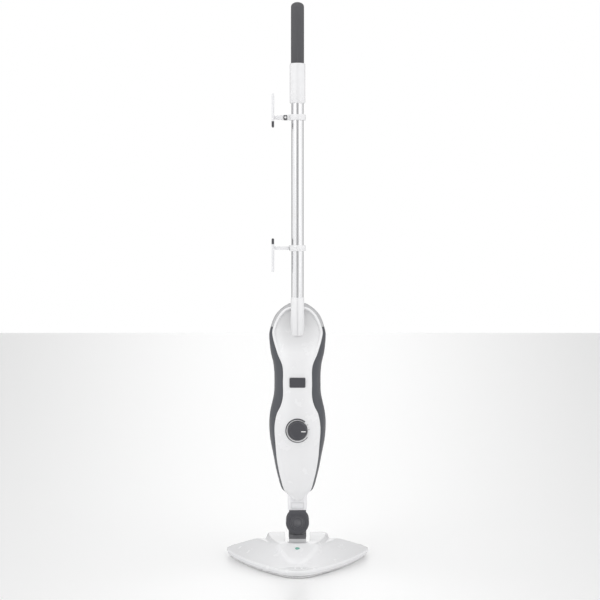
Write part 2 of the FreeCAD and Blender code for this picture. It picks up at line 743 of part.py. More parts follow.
node(cut("bulkhead", common("bulkhead_solid", rear_outside, bulkhead_zone), valve_way))

# ---------------------------------------------------------------- water tank

tank_zone = box("tank_zone", BIG, BIG, "tank_height - 2 * slide_gap",
                ("0", f"tank_front + {BIG} / 2", "tank_bottom + slide_gap"))
tank_solid = common("tank_solid", rear_outside, tank_zone)
room_zone = box("room_zone", BIG, BIG, "tank_height - 2 * slide_gap - 2 * body_wall",
                ("0", f"tank_front + body_wall + {BIG} / 2", "tank_bottom + slide_gap + body_wall"))
tank_room = common("tank_room", rear_inside, room_zone)
filler_z = "(tank_top - 34)"
filler_way = rod("filler_way", "filler_r - 2", "60", ("0", "tank_front + 15", filler_z), "y")
tank_port = rod("tank_port", "4.1", "body_wall + 2", ("26", "tank_front - 1", "tank_bottom + 14"), "y")
filler_y = value("body_rear_depth") * station_at(value(filler_z + " - body_bottom"), 4)
tank_shell = cut("tank_shell", tank_solid, tank_room, filler_way)
filler_neck = tube("filler_neck", "filler_r", "filler_r - 2", "9", ("0", f"{filler_y:.2f} - 8", filler_z), "y")
filler_seat = rod("filler_seat", "filler_r - 0.5", "30", ("0", f"{filler_y:.2f} - 7.5", filler_z), "y")
node(cut("water_tank", fuse("tank_full", cut("tank_seated", tank_shell, filler_seat), filler_neck), tank_port))
node(turned("tank_cap", [
    ("0", "-7.9"), ("filler_r - 2 - slide_gap", "-7.9"), ("filler_r - 2 - slide_gap", "0"), ("filler_r + 2", "0"),
    ("filler_r + 2", "4"), ("filler_r", "5.5"), ("4", "5.5"), ("4", "8"), ("0", "8")],
    ("0", f"{filler_y:.2f} + 1.3", filler_z), "y"))
node(turned("tank_valve", [
    ("0", "0"), ("3", "0"), ("4.05", "1.5"), ("4.05", "9"), ("6", "9"), ("6", "11"), ("0", "11")],
    ("26", "tank_front + body_wall - 9", "tank_bottom + 14"), "y"))
node(tube("tank_coupling", "5.5", "4.3", "9", ("26", "tank_front - slide_gap - 9", "tank_bottom + 14"), "y"))

# ---------------------------------------------------------------- controls

knob_face = value("body_front_depth") * station_at(value("knob_rise"), 3)
button_face = value("body_front_depth") * station_at(value("button_rise"), 3)
node(turned("dial_ring", [
    ("shaft_r + 0.4", "0"), ("dial_r - 1.4", "0"), ("dial_r - 1.4", "-dial_depth + 2"),
    ("dial_r", "-dial_depth + 2"), ("dial_r", "-dial_depth"), ("knob_r + 1", "-dial_depth"),
    ("knob_r + 1", "-2"), ("shaft_r + 0.4", "-2")],
    ("0", f"-{knob_face:.2f} - 1.9 + dial_depth", "knob_z"), "y"))
knob_back = f"(-{knob_face:.2f} - 1.9 + dial_depth - 2.6)"
node(turned("steam_knob", [
    ("0", "14"), ("shaft_r", "14"), ("shaft_r", "0"), ("knob_r", "0"), ("knob_r", "-knob_depth + 2.5"),
    ("knob_r - 2", "-knob_depth"), ("0", "-knob_depth")], ("0", knob_back, "knob_z"), "y"))
pointer_spot = f"{knob_back} - knob_depth - 0.3"
pointer = box("knob_pointer", "9.5", "0.6", "1.8", ("12", pointer_spot, "knob_z - 2"))
node(pointer)
node(tube("knob_potentiometer", "8.5", "shaft_r + fit_gap", "9", ("0", f"{knob_back} + 2.6", "knob_z"), "y"))

button_front = f"(-{button_face:.2f} - 1.2)"
button_cap = plate("button_cap", rectangle("button_width", "button_height"), "button_depth",
                   ("0", f"{button_front} + button_depth", "button_z"), "XZ_Plane", "2.8")
button_stem = rod("button_stem", "4", "5", ("0", f"{button_front} + button_depth - 0.1", "button_z"), "y")
node(fuse("power_button", button_cap, button_stem))
switch_y = f"({button_front} + button_depth + 5 + button_travel + 0.2)"
node(box("microswitch", "20", "8", "11", ("0", f"{switch_y} + 4", "button_z - 5.5")))
node(box("control_board", "58", "1.6", "board_height", ("0", "-4", "board_bottom")))

# ---------------------------------------------------------------- inside the body

node(turned("boiler", [
    ("0", "0"), ("boiler_r - 3", "0"), ("boiler_r", "3"), ("boiler_r", "boiler_length - 3"),
    ("boiler_r - 3", "boiler_length"), ("3.1", "boiler_length"), ("3.1", "boiler_length - 3"),
    ("boiler_r - 3", "boiler_length - 5"), ("boiler_r - 3", "4"), ("0", "4")],
    ("0", "boiler_y", "boiler_z")))
node(rod("heating_element", "3", "boiler_length - 6", ("0", "boiler_y", "boiler_z + 9")))
node(tube("thermostat", "9", "3.2", "5", ("0", "boiler_y", "boiler_top")))
bracket_plate = box("bracket_plate", "44", "3", "50", ("0", "split_y - 1.7", "boiler_z + 12"))
bracket_arm = box("bracket_arm", "30", "5", "30", ("0", "split_y - 5.5", "boiler_z + 22"))
bracket_way = rod("bracket_way", "boiler_r", "200",
                  ("0", "boiler_y", "boiler_z - 40"))
node(cut("boiler_bracket", fuse("bracket_solid", bracket_plate, bracket_arm), bracket_way))
node(rod("pump_body", "pump_r", "pump_length", ("-pump_length / 2", "-9", "pump_z"), "x"))
node(tube("pump_coil", "pump_r + 4", "pump_r", "24", ("-12", "-9", "pump_z"), "x"))
pump_z = value("pump_z")
half_pump = value("pump_length") / 2
boiler_top = value("boiler_top")
boiler_y = value("boiler_y")
coupling_z = value("tank_bottom + 14")
coupling_y = value("tank_front - slide_gap") - 9
node(hose("inlet_hose", value("hose_r"), [
    (26, coupling_y, coupling_z), (26, coupling_y - 8, coupling_z), (26, coupling_y - 8, pump_z - 40),
    (26 + 12, coupling_y - 8, pump_z - 40), (26 + 12, coupling_y - 8, pump_z),
    (half_pump, coupling_y - 8, pump_z)], 5))
node(hose("outlet_hose", value("hose_r"), [
    (-half_pump, boiler_y, pump_z), (-half_pump - 12, boiler_y, pump_z),
    (-half_pump - 12, boiler_y, boiler_top + 14), (-13, boiler_y, boiler_top + 14),
    (-13, boiler_y, boiler_top)], 5))
node(turned("cord_gland", [
    ("3.6", "0"), ("7", "0"), ("7", "14"), ("10", "14"), ("10", "17"), ("7", "26"), ("3.6", "26")],
    ("0", f"{value('body_rear_depth') * station_at(value('tank_top + 45 - body_bottom'), 4):.2f} - 12.5",
     "tank_top + 45"), "y"))

# ---------------------------------------------------------------- socket and tube

socket_solid = cone("socket_solid", "tube_r + socket_wall + socket_flare", "tube_r + socket_wall",
                    "socket_top - socket_bottom", ("0", "0", "socket_bottom"))
socket_hole = rod("socket_hole", "socket_bore", "socket_grip + 1", ("0", "0", "socket_seat"))
socket_pin_hole = rod("socket_pin_hole", "3.6", "40", ("0", "0", "socket_seat + 19"), "y")
node(cut("tube_socket", socket_solid, socket_hole, socket_pin_hole))
tube_solid = tube("tube_solid", "tube_r", "tube_r - tube_wall", "tube_length", ("0", "0", "socket_seat"))
lower_pin_hole = rod("lower_pin_hole", "3.6", "40", ("0", "0", "socket_seat + 19"), "y")
upper_pin_hole = rod("upper_pin_hole", "4.2", "40", ("0", "0", "collar_bottom + 30"), "y")
node(cut("upper_tube", tube_solid, lower_pin_hole, upper_pin_hole))
release_y = value("body_rear_depth") * station_at(value("socket_seat + 19 - body_bottom"), 4)
release_cap = box("release_cap", "18", "8", "10", ("0", f"{release_y:.2f} - 2", "socket_seat + 14"))
release_rod = rod("release_rod", "3.2", f"{release_y:.2f} - 6 - tube_r + 2.5",
                  ("0", "tube_r - 2", "socket_seat + 19"), "y")
node(fuse("tube_release_button", release_cap, release_rod))

# ---------------------------------------------------------------- collar and hand loop

collar_solid = turned("collar_solid", [
    ("tube_r + fit_gap", "0"), ("collar_r - 2", "0"), ("collar_r", "3"), ("collar_r", "collar_length"),
    ("0", "collar_length"), ("0", "collar_length - 3"), ("tube_r - 2", "collar_length - 3"),
    ("tube_r - 2", "collar_grip"), ("tube_r + fit_gap", "collar_grip")], ("0", "0", "collar_bottom"))
collar_button_way = rod("collar_button_way", "4.2 + slide_gap", "30", ("0", "0", "collar_bottom + 30"), "y")
collar_open = cut("collar_open", collar_solid, collar_button_way)
halves = {side: box(f"half_{side}", BIG, BIG, 3 * BIG, (x, "0", "socket_top"))
          for side, x in (("left", f"-{BIG} / 2"), ("right", f"{BIG} / 2"))}
loop_outside = feature("loop_outside", hand_loop(0))
loop_inside = feature("loop_inside", hand_loop(value("grip_wall")))
loop_skin = cut("loop_skin", loop_outside, loop_inside)
for side, half in halves.items():
    node(common(f"collar_{side}", collar_open, half))
    node(common(f"grip_{side}", loop_skin, half))
button_head = rod("collar_button_head", "4", "collar_r + 1.5 - tube_r + 3", ("0", "tube_r - 3", "collar_bottom + 30"), "y")
node(button_head, "collar_release_button")

# ---------------------------------------------------------------- cord hooks

def clip_ring(name, level):
    return turned(name, [
        ("tube_r", "-ring_height / 2"), ("ring_r", "-ring_height / 2"), ("ring_r", "ring_height / 2"),
        ("tube_r", "ring_height / 2")], ("0", "0", level))


upper_ring = clip_ring("upper_ring", "upper_hook_z")
upper_lug = box("upper_lug", "6", "10", "ring_height - 1",
                ("-(ring_r + 1)", "0", "upper_hook_z - ring_height / 2 + 0.5"))
ring_room = rod("ring_room", "ring_r - 1", "ring_height", ("0", "0", "upper_hook_z - ring_height / 2"))
node(fuse("upper_clip_ring", upper_ring, cut("upper_lug_fitted", upper_lug, ring_room)))
node(clip_ring("lower_clip_ring", "lower_hook_z"))
pivot_start = "(ring_r + 4)"
pivot_barrel = rod("pivot_barrel", "5.5", "7.5", (f"-{pivot_start} - 7.5", "0", "upper_hook_z"), "x")
pivot_screw = rod("pivot_screw", "2.2", "2", (f"-{pivot_start} - 3.7", "-6.3", "upper_hook_z"), "y")
node(fuse("hook_pivot", pivot_barrel, pivot_screw))


def hook(name, level, start, start_half_height, up, down):
    """A cord hook: an arm out from the tube with an upright paddle across its end."""
    arm = plate(f"{name}_arm", [
        (f"-{start}", f"-{start_half_height}"), (f"-{start}", start_half_height),
        ("-hook_reach + paddle_thickness", "arm_height / 2"),
        ("-hook_reach + paddle_thickness", "-arm_height / 2")], "7", ("0", "0", level), "XZ_Plane", None, True)
    paddle = box(f"{name}_paddle", "paddle_thickness", "2 * paddle_half_depth", f"{up} + {down}",
                 ("-hook_reach + paddle_thickness / 2", "0", f"{level} - {down}"))
    return fuse(f"{name}_solid", arm, paddle)


node(hook("upper_hook", "upper_hook_z", f"({pivot_start} + 7.8)", "5", "paddle_long", "paddle_short"),
     "upper_hook")
lower_room = rod("lower_room", "ring_r", "60", ("0", "0", "lower_hook_z - 30"))
node(cut("lower_hook", hook("lower_hook", "lower_hook_z", "(ring_r - 2)", "3.5", "paddle_short", "paddle_long"),
         lower_room))

# ---------------------------------------------------------------- check and export

doc.recompute()
faults = [thing.Name for thing in doc.Objects if {"Invalid", "Error"} & set(thing.State)]
faults += [piece.Label for piece in nodes if piece.Shape.isNull() or not piece.Shape.isValid()]
if faults:
    raise RuntimeError("these pieces failed: " + ", ".join(faults))

os.makedirs("parts", exist_ok=True)
for piece in nodes:
    piece.Shape.exportStep(f"parts/{piece.Label}.step")
    print(f"{piece.Label}: {len(piece.Shape.Solids)} solid, {piece.Shape.Volume / 1000:.1f} cm3")
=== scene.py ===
import json
import math

import bpy
from bpy.props import FloatProperty, FloatVectorProperty, PointerProperty
from mathutils import Matrix, Vector
from mathutils.kdtree import KDTree


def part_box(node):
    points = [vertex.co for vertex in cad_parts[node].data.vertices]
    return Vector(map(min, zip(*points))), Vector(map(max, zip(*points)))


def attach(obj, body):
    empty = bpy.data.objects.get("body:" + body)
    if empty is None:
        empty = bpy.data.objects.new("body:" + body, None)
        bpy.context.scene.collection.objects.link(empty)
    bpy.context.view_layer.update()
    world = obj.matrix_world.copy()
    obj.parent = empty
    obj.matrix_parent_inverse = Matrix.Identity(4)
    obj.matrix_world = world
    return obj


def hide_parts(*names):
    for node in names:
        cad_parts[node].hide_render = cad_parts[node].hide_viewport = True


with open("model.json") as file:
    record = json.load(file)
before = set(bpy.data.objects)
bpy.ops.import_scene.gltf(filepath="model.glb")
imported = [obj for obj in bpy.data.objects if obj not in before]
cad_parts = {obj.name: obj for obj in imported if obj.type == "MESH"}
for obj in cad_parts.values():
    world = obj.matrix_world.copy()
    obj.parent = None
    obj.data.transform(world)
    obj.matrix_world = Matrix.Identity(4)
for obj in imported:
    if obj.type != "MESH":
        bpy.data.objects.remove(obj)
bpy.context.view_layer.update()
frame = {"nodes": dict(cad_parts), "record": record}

bl_info = {
    "name": "Steam Mop Builder",
    "version": (1, 0, 0),
    "blender": (4, 5, 0),
    "location": "View3D > Sidebar > Steam Mop",
    "description": "Builds the shells, pad, handle and studio of an upright steam mop around its CAD frame",
    "category": "Object",
}

MM = 0.001
UP = Vector((0, 0, 1))

# Metres: points nearer than this are merged, and each half is cut this far from the middle.
WELD = 0.00001
HALF_GAP = 0.00008

NODE_BOXES = {name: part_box(name) for name in frame["nodes"]}


def low(node):
    return NODE_BOXES[node][0] / MM


def high(node):
    return NODE_BOXES[node][1] / MM


def middle_z(node):
    return (low(node).z + high(node).z) / 2


def radius_of(node):
    """Half a round node's width, in millimetres."""
    return (high(node).x - low(node).x) / 2


# Places read from the frame, in millimetres.
SPLIT_Y = high("side_trim_left").y
BODY_LOW = low("front_shell").z
BODY_TOP = high("rear_upper_shell").z
BODY_TALL = BODY_TOP - BODY_LOW
ARCH_Z = high("side_trim_left").z
COLLAR_LOW = low("collar_left").z
COLLAR_TOP = high("collar_left").z
KNOB_Z = middle_z("steam_knob")
SWIVEL_Z = middle_z("swivel_pin")
RELEASE_Z = middle_z("tube_release_button")
KEY_Z = middle_z("collar_release_button")
UPPER_HOOK_Z = middle_z("hook_pivot")
LOWER_HOOK_Z = middle_z("lower_clip_ring")
DIAL_R = radius_of("dial_ring")
BUTTON_LOW, BUTTON_HIGH = low("power_button"), high("power_button")
CAP = (low("tank_cap") + high("tank_cap")) / 2
CAP_R = radius_of("tank_cap")

# The body's largest half width, and its largest depths before and behind the tube, in millimetres.
BODY_HALF = 58.0
BODY_FRONT = 42.0
BODY_REAR = 58.0

# Body stations, bottom to top: height share, half width, half width of the front panel, front depth and
# rear depth, each as a share of its largest value.
STATIONS = (
    (0.000, 0.236, 0.150, 0.40, 0.26),
    (0.033, 0.395, 0.362, 0.54, 0.36),
    (0.057, 0.560, 0.474, 0.64, 0.47),
    (0.103, 0.666, 0.569, 0.76, 0.64),
    (0.149, 0.750, 0.647, 0.85, 0.78),
    (0.216, 0.840, 0.726, 0.93, 0.90),
    (0.285, 0.938, 0.766, 0.98, 0.97),
    (0.375, 1.000, 0.803, 1.00, 1.00),
    (0.444, 0.971, 0.728, 0.985, 0.99),
    (0.489, 0.907, 0.584, 0.96, 0.975),
    (0.533, 0.840, 0.509, 0.935, 0.955),
    (0.598, 0.817, 0.509, 0.90, 0.93),
    (0.685, 0.848, 0.524, 0.83, 0.90),
    (0.752, 0.950, 0.709, 0.70, 0.86),
    (0.836, 1.003, 0.879, 0.42, 0.80),
    (0.873, 0.960, 0.869, 0.33, 0.75),
    (0.935, 0.798, 0.686, 0.20, 0.62),
    (0.973, 0.566, 0.440, 0.13, 0.46),
    (1.000, 0.293, 0.080, 0.07, 0.24),
)
SECTION_POWER = 2.5


# ---------------------------------------------------------------- sizes and colours a user would change

class MopSizes(bpy.types.PropertyGroup):
    """Sizes of the visible detail."""

    shell_wall: FloatProperty(
        name="Shell wall", description="Thickness of the moulded body shells",
        default=2.4 * MM, unit="LENGTH")
    seam: FloatProperty(
        name="Seam", description="Gap between neighbouring shells",
        default=0.5 * MM, unit="LENGTH")
    edge: FloatProperty(
        name="Edge rounding", description="Radius of the moulded edges",
        default=0.6 * MM, unit="LENGTH")
    dish_depth: FloatProperty(
        name="Dish depth", description="How far the panel sinks around the tube socket",
        default=8.0 * MM, unit="LENGTH")
    rim_width: FloatProperty(
        name="Rim width", description="Width of the raised rim round the dish",
        default=3.6 * MM, unit="LENGTH")
    pad_swell: FloatProperty(
        name="Pad swell", description="How far the pad may swell from its cut shape",
        default=1.6 * MM, unit="LENGTH")


class MopColours(bpy.types.PropertyGroup):
    """Colours of the mouldings."""

    shell: FloatVectorProperty(
        name="Shell", description="White gloss mouldings",
        default=(0.83, 0.83, 0.84), subtype="COLOR", size=3)
    trim: FloatVectorProperty(
        name="Trim", description="Charcoal side trims and rear shells",
        default=(0.056, 0.060, 0.071), subtype="COLOR", size=3)
    arch: FloatVectorProperty(
        name="Arch", description="Light grey arch and small mouldings",
        default=(0.50, 0.50, 0.51), subtype="COLOR", size=3)
    joint: FloatVectorProperty(
        name="Joint", description="Dark swivel joint and knob",
        default=(0.050, 0.050, 0.059), subtype="COLOR", size=3)
    grip: FloatVectorProperty(
        name="Grip", description="Soft hand grip",
        default=(0.080, 0.080, 0.087), subtype="COLOR", size=3)
    emblem: FloatVectorProperty(
        name="Emblem", description="Teal print on the floor head",
        default=(0.16, 0.42, 0.34), subtype="COLOR", size=3)


# ---------------------------------------------------------------- small modelling helpers

def nothing_selected():
    if bpy.context.mode != "OBJECT":
        bpy.ops.object.mode_set(mode="OBJECT")
    bpy.ops.object.select_all(action="DESELECT")


def only(piece):
    nothing_selected()
    piece.select_set(True)
    bpy.context.view_layer.objects.active = piece


def edit_all(piece):
    only(piece)
    bpy.ops.object.mode_set(mode="EDIT")
    bpy.ops.mesh.select_all(action="SELECT")


def edit_done():
    bpy.ops.object.mode_set(mode="OBJECT")


def pick_faces(piece, chosen):
    """Enter edit mode with only the chosen faces selected, and say how many they are."""
    edit_all(piece)
    bpy.ops.mesh.select_mode(type="FACE")
    bpy.ops.mesh.select_all(action="DESELECT")
    edit_done()
    for face in piece.data.polygons:
        face.select = bool(chosen(face))
    bpy.ops.object.mode_set(mode="EDIT")
    return sum(face.select for face in piece.data.polygons)


def apply_modifier(piece, kind, **settings):
    only(piece)
    modifier = piece.modifiers.new(kind.title(), kind)
    for name, setting in settings.items():
        setattr(modifier, name, setting)
    bpy.ops.object.modifier_apply(modifier=modifier.name)


def close_up(piece):
    """Merge doubled points and turn every face outwards."""
    edit_all(piece)
    bpy.ops.mesh.remove_doubles(threshold=WELD)
    bpy.ops.mesh.normals_make_consistent(inside=False)
    edit_done()


def smooth(piece, angle=35):
    only(piece)
    bpy.ops.object.shade_smooth_by_angle(angle=math.radians(angle))


def soften(piece, width, segments=3, angle=32):
    """Round the sharp edges like a moulded part's."""
    apply_modifier(piece, "BEVEL", width=width, segments=segments, limit_method="ANGLE",
                   angle_limit=math.radians(angle), harden_normals=False)
    smooth(piece, 40)


def carve(piece, *cutters):
    for cutter in cutters:
        apply_modifier(piece, "BOOLEAN", operation="DIFFERENCE", solver="EXACT", object=cutter)
        bpy.data.objects.remove(cutter)
        if not piece.data.polygons:
            raise RuntimeError(f"{piece.name} was lost when it was cut")


def fuse(piece, other):
    apply_modifier(piece, "BOOLEAN", operation="UNION", solver="EXACT", object=other)
    bpy.data.objects.remove(other)


def join(name, *pieces):
    nothing_selected()
    for piece in pieces:
        piece.select_set(True)
    bpy.context.view_layer.objects.active = pieces[0]
    bpy.ops.object.join()
    joined = bpy.context.object
    joined.name = name
    return joined


def settle(piece, name):
    """Name a piece and put its place into its mesh."""
    only(piece)
    bpy.ops.object.transform_apply(location=True, rotation=True, scale=True)
    piece.name = name
    piece.data.name = name
    return piece


def rounded_box(name, lowest, highest, radius, segments=4):
    """A box between two corners, in millimetres, with rounded edges."""
    nothing_selected()
    lowest, highest = Vector(lowest), Vector(highest)
    bpy.ops.mesh.primitive_cube_add(size=1, location=(lowest + highest) / 2 * MM)
    piece = bpy.context.object
    piece.scale = (highest - lowest) * MM
    settle(piece, name)
    edit_all(piece)
    bpy.ops.mesh.bevel(offset=radius * MM, segments=segments, affect="EDGES")
    edit_done()
    smooth(piece, 40)
    return piece


def rod(name, radius, start, end, segments=64):
    """A round bar between two points, in millimetres."""
    nothing_selected()
    start, end = Vector(start), Vector(end)
    bpy.ops.mesh.primitive_cylinder_add(vertices=segments, radius=radius * MM, depth=(end - start).length * MM)
    piece = bpy.context.object
    turn = UP.rotation_difference((end - start).normalized()).to_matrix().to_4x4()
    piece.data.transform(Matrix.Translation((start + end) / 2 * MM) @ turn)
    piece.name = name
    return piece


AXES = {
    "z": Matrix.Identity(4),
    "x": Matrix.Rotation(math.radians(90), 4, "Y"),
    "y": Matrix.Rotation(math.radians(-90), 4, "X"),
}


def lathe(name, profile, centre=(0, 0, 0), along="z", steps=72):
    """Spin a profile of radius and height pairs, in millimetres, about an axis through centre."""
    nothing_selected()
    bpy.ops.mesh.primitive_circle_add(vertices=3, radius=MM)
    piece = bpy.context.object
    bpy.ops.object.mode_set(mode="EDIT")
    bpy.ops.mesh.delete(type="VERT")
    edit_done()
    points = [(radius * MM, 0, height * MM) for radius, height in profile]
    links = [(index, index + 1) for index in range(len(points) - 1)]
    piece.data.from_pydata(points, links, [])
    edit_all(piece)
    bpy.ops.mesh.spin(steps=steps, angle=2 * math.pi, center=(0, 0, 0), axis=(0, 0, 1), use_auto_merge=True)
    edit_done()
    close_up(piece)
    piece.data.transform(Matrix.Translation(Vector(centre) * MM) @ AXES[along])
    piece.name = name
    smooth(piece, 32)
    return piece


def turn_forward(piece, centre):
    """Mirror a piece turned along +Y, so that it runs forward from its centre, in millimetres."""
    centre = Vector(centre) * MM
    piece.data.transform(Matrix.Translation(centre) @ Matrix.Scale(-1, 4, Vector((0, 1, 0)))
                         @ Matrix.Translation(-centre))
    close_up(piece)


def slab(name, outline, thickness, plane="front", at=(0, 0, 0)):
    """An outline, in millimetres, padded into a plate. Front outlines lie in XZ and run back along +Y."""
    nothing_selected()
    bpy.ops.mesh.primitive_circle_add(vertices=len(outline), radius=1, fill_type="NGON")
    piece = bpy.context.object
    for vertex, (u, v) in zip(piece.data.vertices, outline):
        vertex.co = Vector((u, v, 0)) * MM
    edit_all(piece)
    bpy.ops.mesh.extrude_region_move(TRANSFORM_OT_translate={"value": (0, 0, thickness * MM)})
    bpy.ops.mesh.select_all(action="SELECT")
    bpy.ops.mesh.normals_make_consistent(inside=False)
    edit_done()
    if plane == "front":
        piece.data.transform(Matrix(((1, 0, 0, 0), (0, 0, 1, 0), (0, 1, 0, 0), (0, 0, 0, 1))))
        piece.data.flip_normals()
    piece.data.transform(Matrix.Translation(Vector(at) * MM))
    piece.name = name
    return piece


def surface(name, columns, rows, place, closed=False):
    """A grid whose points are laid on a surface: place(u, v), each 0 to 1, gives a point in millimetres."""
    nothing_selected()
    bpy.ops.mesh.primitive_grid_add(x_subdivisions=columns, y_subdivisions=rows, size=1)
    piece = bpy.context.object
    for vertex in piece.data.vertices:
        vertex.co = Vector(place(vertex.co.x + 0.5, vertex.co.y + 0.5)) * MM
    piece.name = name
    if closed:
        close_up(piece)
    return piece


def face_out(piece, inside):
    """Turn an open skin's faces away from a point inside it."""
    piece.data.update()
    outward = sum((face.center - inside).normalized().dot(face.normal) * face.area
                  for face in piece.data.polygons)
    if outward < 0:
        piece.data.flip_normals()


def shell(piece, wall, inside):
    """Give an open skin its wall, on the inner side."""
    edit_all(piece)
    bpy.ops.mesh.remove_doubles(threshold=WELD)
    edit_done()
    face_out(piece, inside)
    apply_modifier(piece, "SOLIDIFY", thickness=wall, offset=-1.0, use_even_offset=False, use_rim=True)


def half_of(piece, side, name):
    """A closed left or right half, cut at X = 0."""
    copy = piece.copy()
    copy.data = piece.data.copy()
    bpy.context.collection.objects.link(copy)
    edit_all(copy)
    gap = HALF_GAP * side
    bpy.ops.mesh.bisect(plane_co=(gap, 0, 0), plane_no=(side, 0, 0), use_fill=True, clear_inner=True)
    edit_done()
    copy.name = name
    close_up(copy)
    return copy


def frame_copy(node, name, bevel, segments=2):
    """A piece that starts as a frame part, with its flat faces made whole and its edges rounded."""
    source = frame["nodes"][node]
    copy = source.copy()
    copy.data = source.data.copy()
    copy.parent = None
    bpy.context.collection.objects.link(copy)
    copy.data.materials.clear()
    edit_all(copy)
    bpy.ops.mesh.remove_doubles(threshold=WELD)
    bpy.ops.mesh.dissolve_limited(angle_limit=math.radians(1.0))
    edit_done()
    copy.name = name
    if bevel:
        apply_modifier(copy, "BEVEL", width=bevel * MM, segments=segments, limit_method="ANGLE",
                       angle_limit=math.radians(38))
    smooth(copy, 38)
    return copy


def finish_piece(piece, name, body, nodes, *finishes, slot=None):
    """Name, colour and hang a piece on its body, in place of its frame parts. The slot argument is not used."""
    settle(piece, name)
    piece.data.materials.clear()
    for finish in finishes:
        piece.data.materials.append(FINISHES[finish])
    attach(piece, body)
    if nodes:
        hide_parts(*nodes)
    slot = slot or finishes[0]
    return piece


def paint(piece, index, chosen):
    """Give the faces whose centre, in millimetres, is chosen the material of that index."""
    for face in piece.data.polygons:
        if chosen(face.center / MM):
            face.material_index = index


# ---------------------------------------------------------------- the body's own surfaces

def ease(amount):
    amount = min(max(amount, 0.0), 1.0)
    return amount * amount * (3 - 2 * amount)


def station(height, column):
    """A station column at a height in millimetres, on a smooth curve through the rows."""
    share = min(max((height - BODY_LOW) / BODY_TALL, 0.0), 1.0)
    index = 0
    while index < len(STATIONS) - 2 and share > STATIONS[index + 1][0]:
        index += 1

    def slope(row):
        before, after = max(row - 1, 0), min(row + 1, len(STATIONS) - 1)
        return (STATIONS[after][column] - STATIONS[before][column]) / (STATIONS[after][0] - STATIONS[before][0])

    first, last = STATIONS[index], STATIONS[index + 1]
    span = last[0] - first[0]
    t = (share - first[0]) / span
    return ((2 * t ** 3 - 3 * t ** 2 + 1) * first[column] + (t ** 3 - 2 * t ** 2 + t) * span * slope(index)
            + (3 * t ** 2 - 2 * t ** 3) * last[column] + (t ** 3 - t ** 2) * span * slope(index + 1))


def half_width(height):
    return station(height, 1) * BODY_HALF


def panel_half(height):
    """Half width of the front panel, drawn in to a point under and over it."""
    foot = ease((height - BODY_LOW - 1.6) / 3.0) ** 0.5
    crown = math.sqrt(max(1 - max((height - (BODY_TOP - 12)) / 8.5, 0.0) ** 2, 0.0))
    return station(height, 2) * BODY_HALF * foot * crown


def body_point(height, angle, inset=0.0, shrink=1.0):
    """A point of the body's level curve: angle 0 at +X, 90 at the front, 270 at the rear."""
    wide = (half_width(height) - inset) * shrink
    cosine, sine = math.cos(angle), math.sin(angle)
    across = math.copysign(abs(cosine) ** (2 / SECTION_POWER), cosine)
    along = abs(sine) ** (2 / SECTION_POWER)
    if sine >= 0:
        depth = -(station(height, 3) * BODY_FRONT + SPLIT_Y - inset) * shrink
    else:
        depth = (station(height, 4) * BODY_REAR - SPLIT_Y - inset) * shrink
    return Vector((wide * across, SPLIT_Y + depth * along, height))


def front_y(x, height, inset=0.0):
    wide = half_width(height) - inset
    depth = station(height, 3) * BODY_FRONT + SPLIT_Y - inset
    ratio = min(abs(x) / wide, 1.0)
    return SPLIT_Y - depth * (1 - ratio ** SECTION_POWER) ** (1 / SECTION_POWER)


def panel_angle(height, inset=0.0):
    """Where on the level curve the panel's edge lies."""
    ratio = min(panel_half(height) / (half_width(height) - inset), 1.0)
    return math.acos(ratio ** (SECTION_POWER / 2))


def panel_outline():
    """The front panel's edge in the XZ plane, as a tree that finds the distance to it."""
    steps = 500
    tree = KDTree(2 * steps + 2)
    for index in range(steps + 1):
        height = BODY_LOW + BODY_TALL * index / steps
        for side in (-1, 1):
            tree.insert(Vector((side * panel_half(height), 0, height)), 2 * index + (side > 0))
    tree.balance()
    return tree


BOWL = ((425, -46), (440, -31), (455, -22), (470, -15.5), (480, -11.5), (490, -7), (502, -3.5), (515, -1.0),
        (528, 1.0), (540, 2.5))


DISH_FOOT, DISH_START = 405, 425


def bowl_y(height):
    """How far forward the middle of the dish reaches at a height."""
    first, last = BOWL[0], BOWL[-1]
    if height <= first[0]:
        return first[1] - (first[0] - height)
    for before, after in zip(BOWL, BOWL[1:]):
        if height <= after[0]:
            return before[1] + (after[1] - before[1]) * (height - before[0]) / (after[0] - before[0])
    return last[1]


def dish_y(x, height, edge_distance, rim, depth):
    """The panel with its dish round the tube socket and the rim left standing at the edge."""
    outer = front_y(x, height)
    if height < DISH_FOOT:
        return outer
    sunk = outer + depth * 0.45 * ease((height - DISH_START) / 50)
    floor = bowl_y(height)
    blended = (sunk + floor + math.sqrt((sunk - floor) ** 2 + 30)) / 2
    start = (outer + floor + math.sqrt((outer - floor) ** 2 + 30)) / 2 - outer
    if height < DISH_START:
        blended = outer + start * ease((height - DISH_FOOT) / (DISH_START - DISH_FOOT))
    return outer + max(blended - outer, 0) * ease((edge_distance - rim) / 3.2)


def arc_points(centre, radius, start, end, count):
    return [Vector((centre[0] + radius * math.cos(start + (end - start) * step / count),
                    centre[1] + radius * math.sin(start + (end - start) * step / count), 0))
            for step in range(count)]


def bezier(first, second, third, fourth, count):
    points = []
    for step in range(count):
        t = step / count
        points.append(first * (1 - t) ** 3 + second * 3 * t * (1 - t) ** 2
                      + third * 3 * t * t * (1 - t) + fourth * t ** 3)
    return points


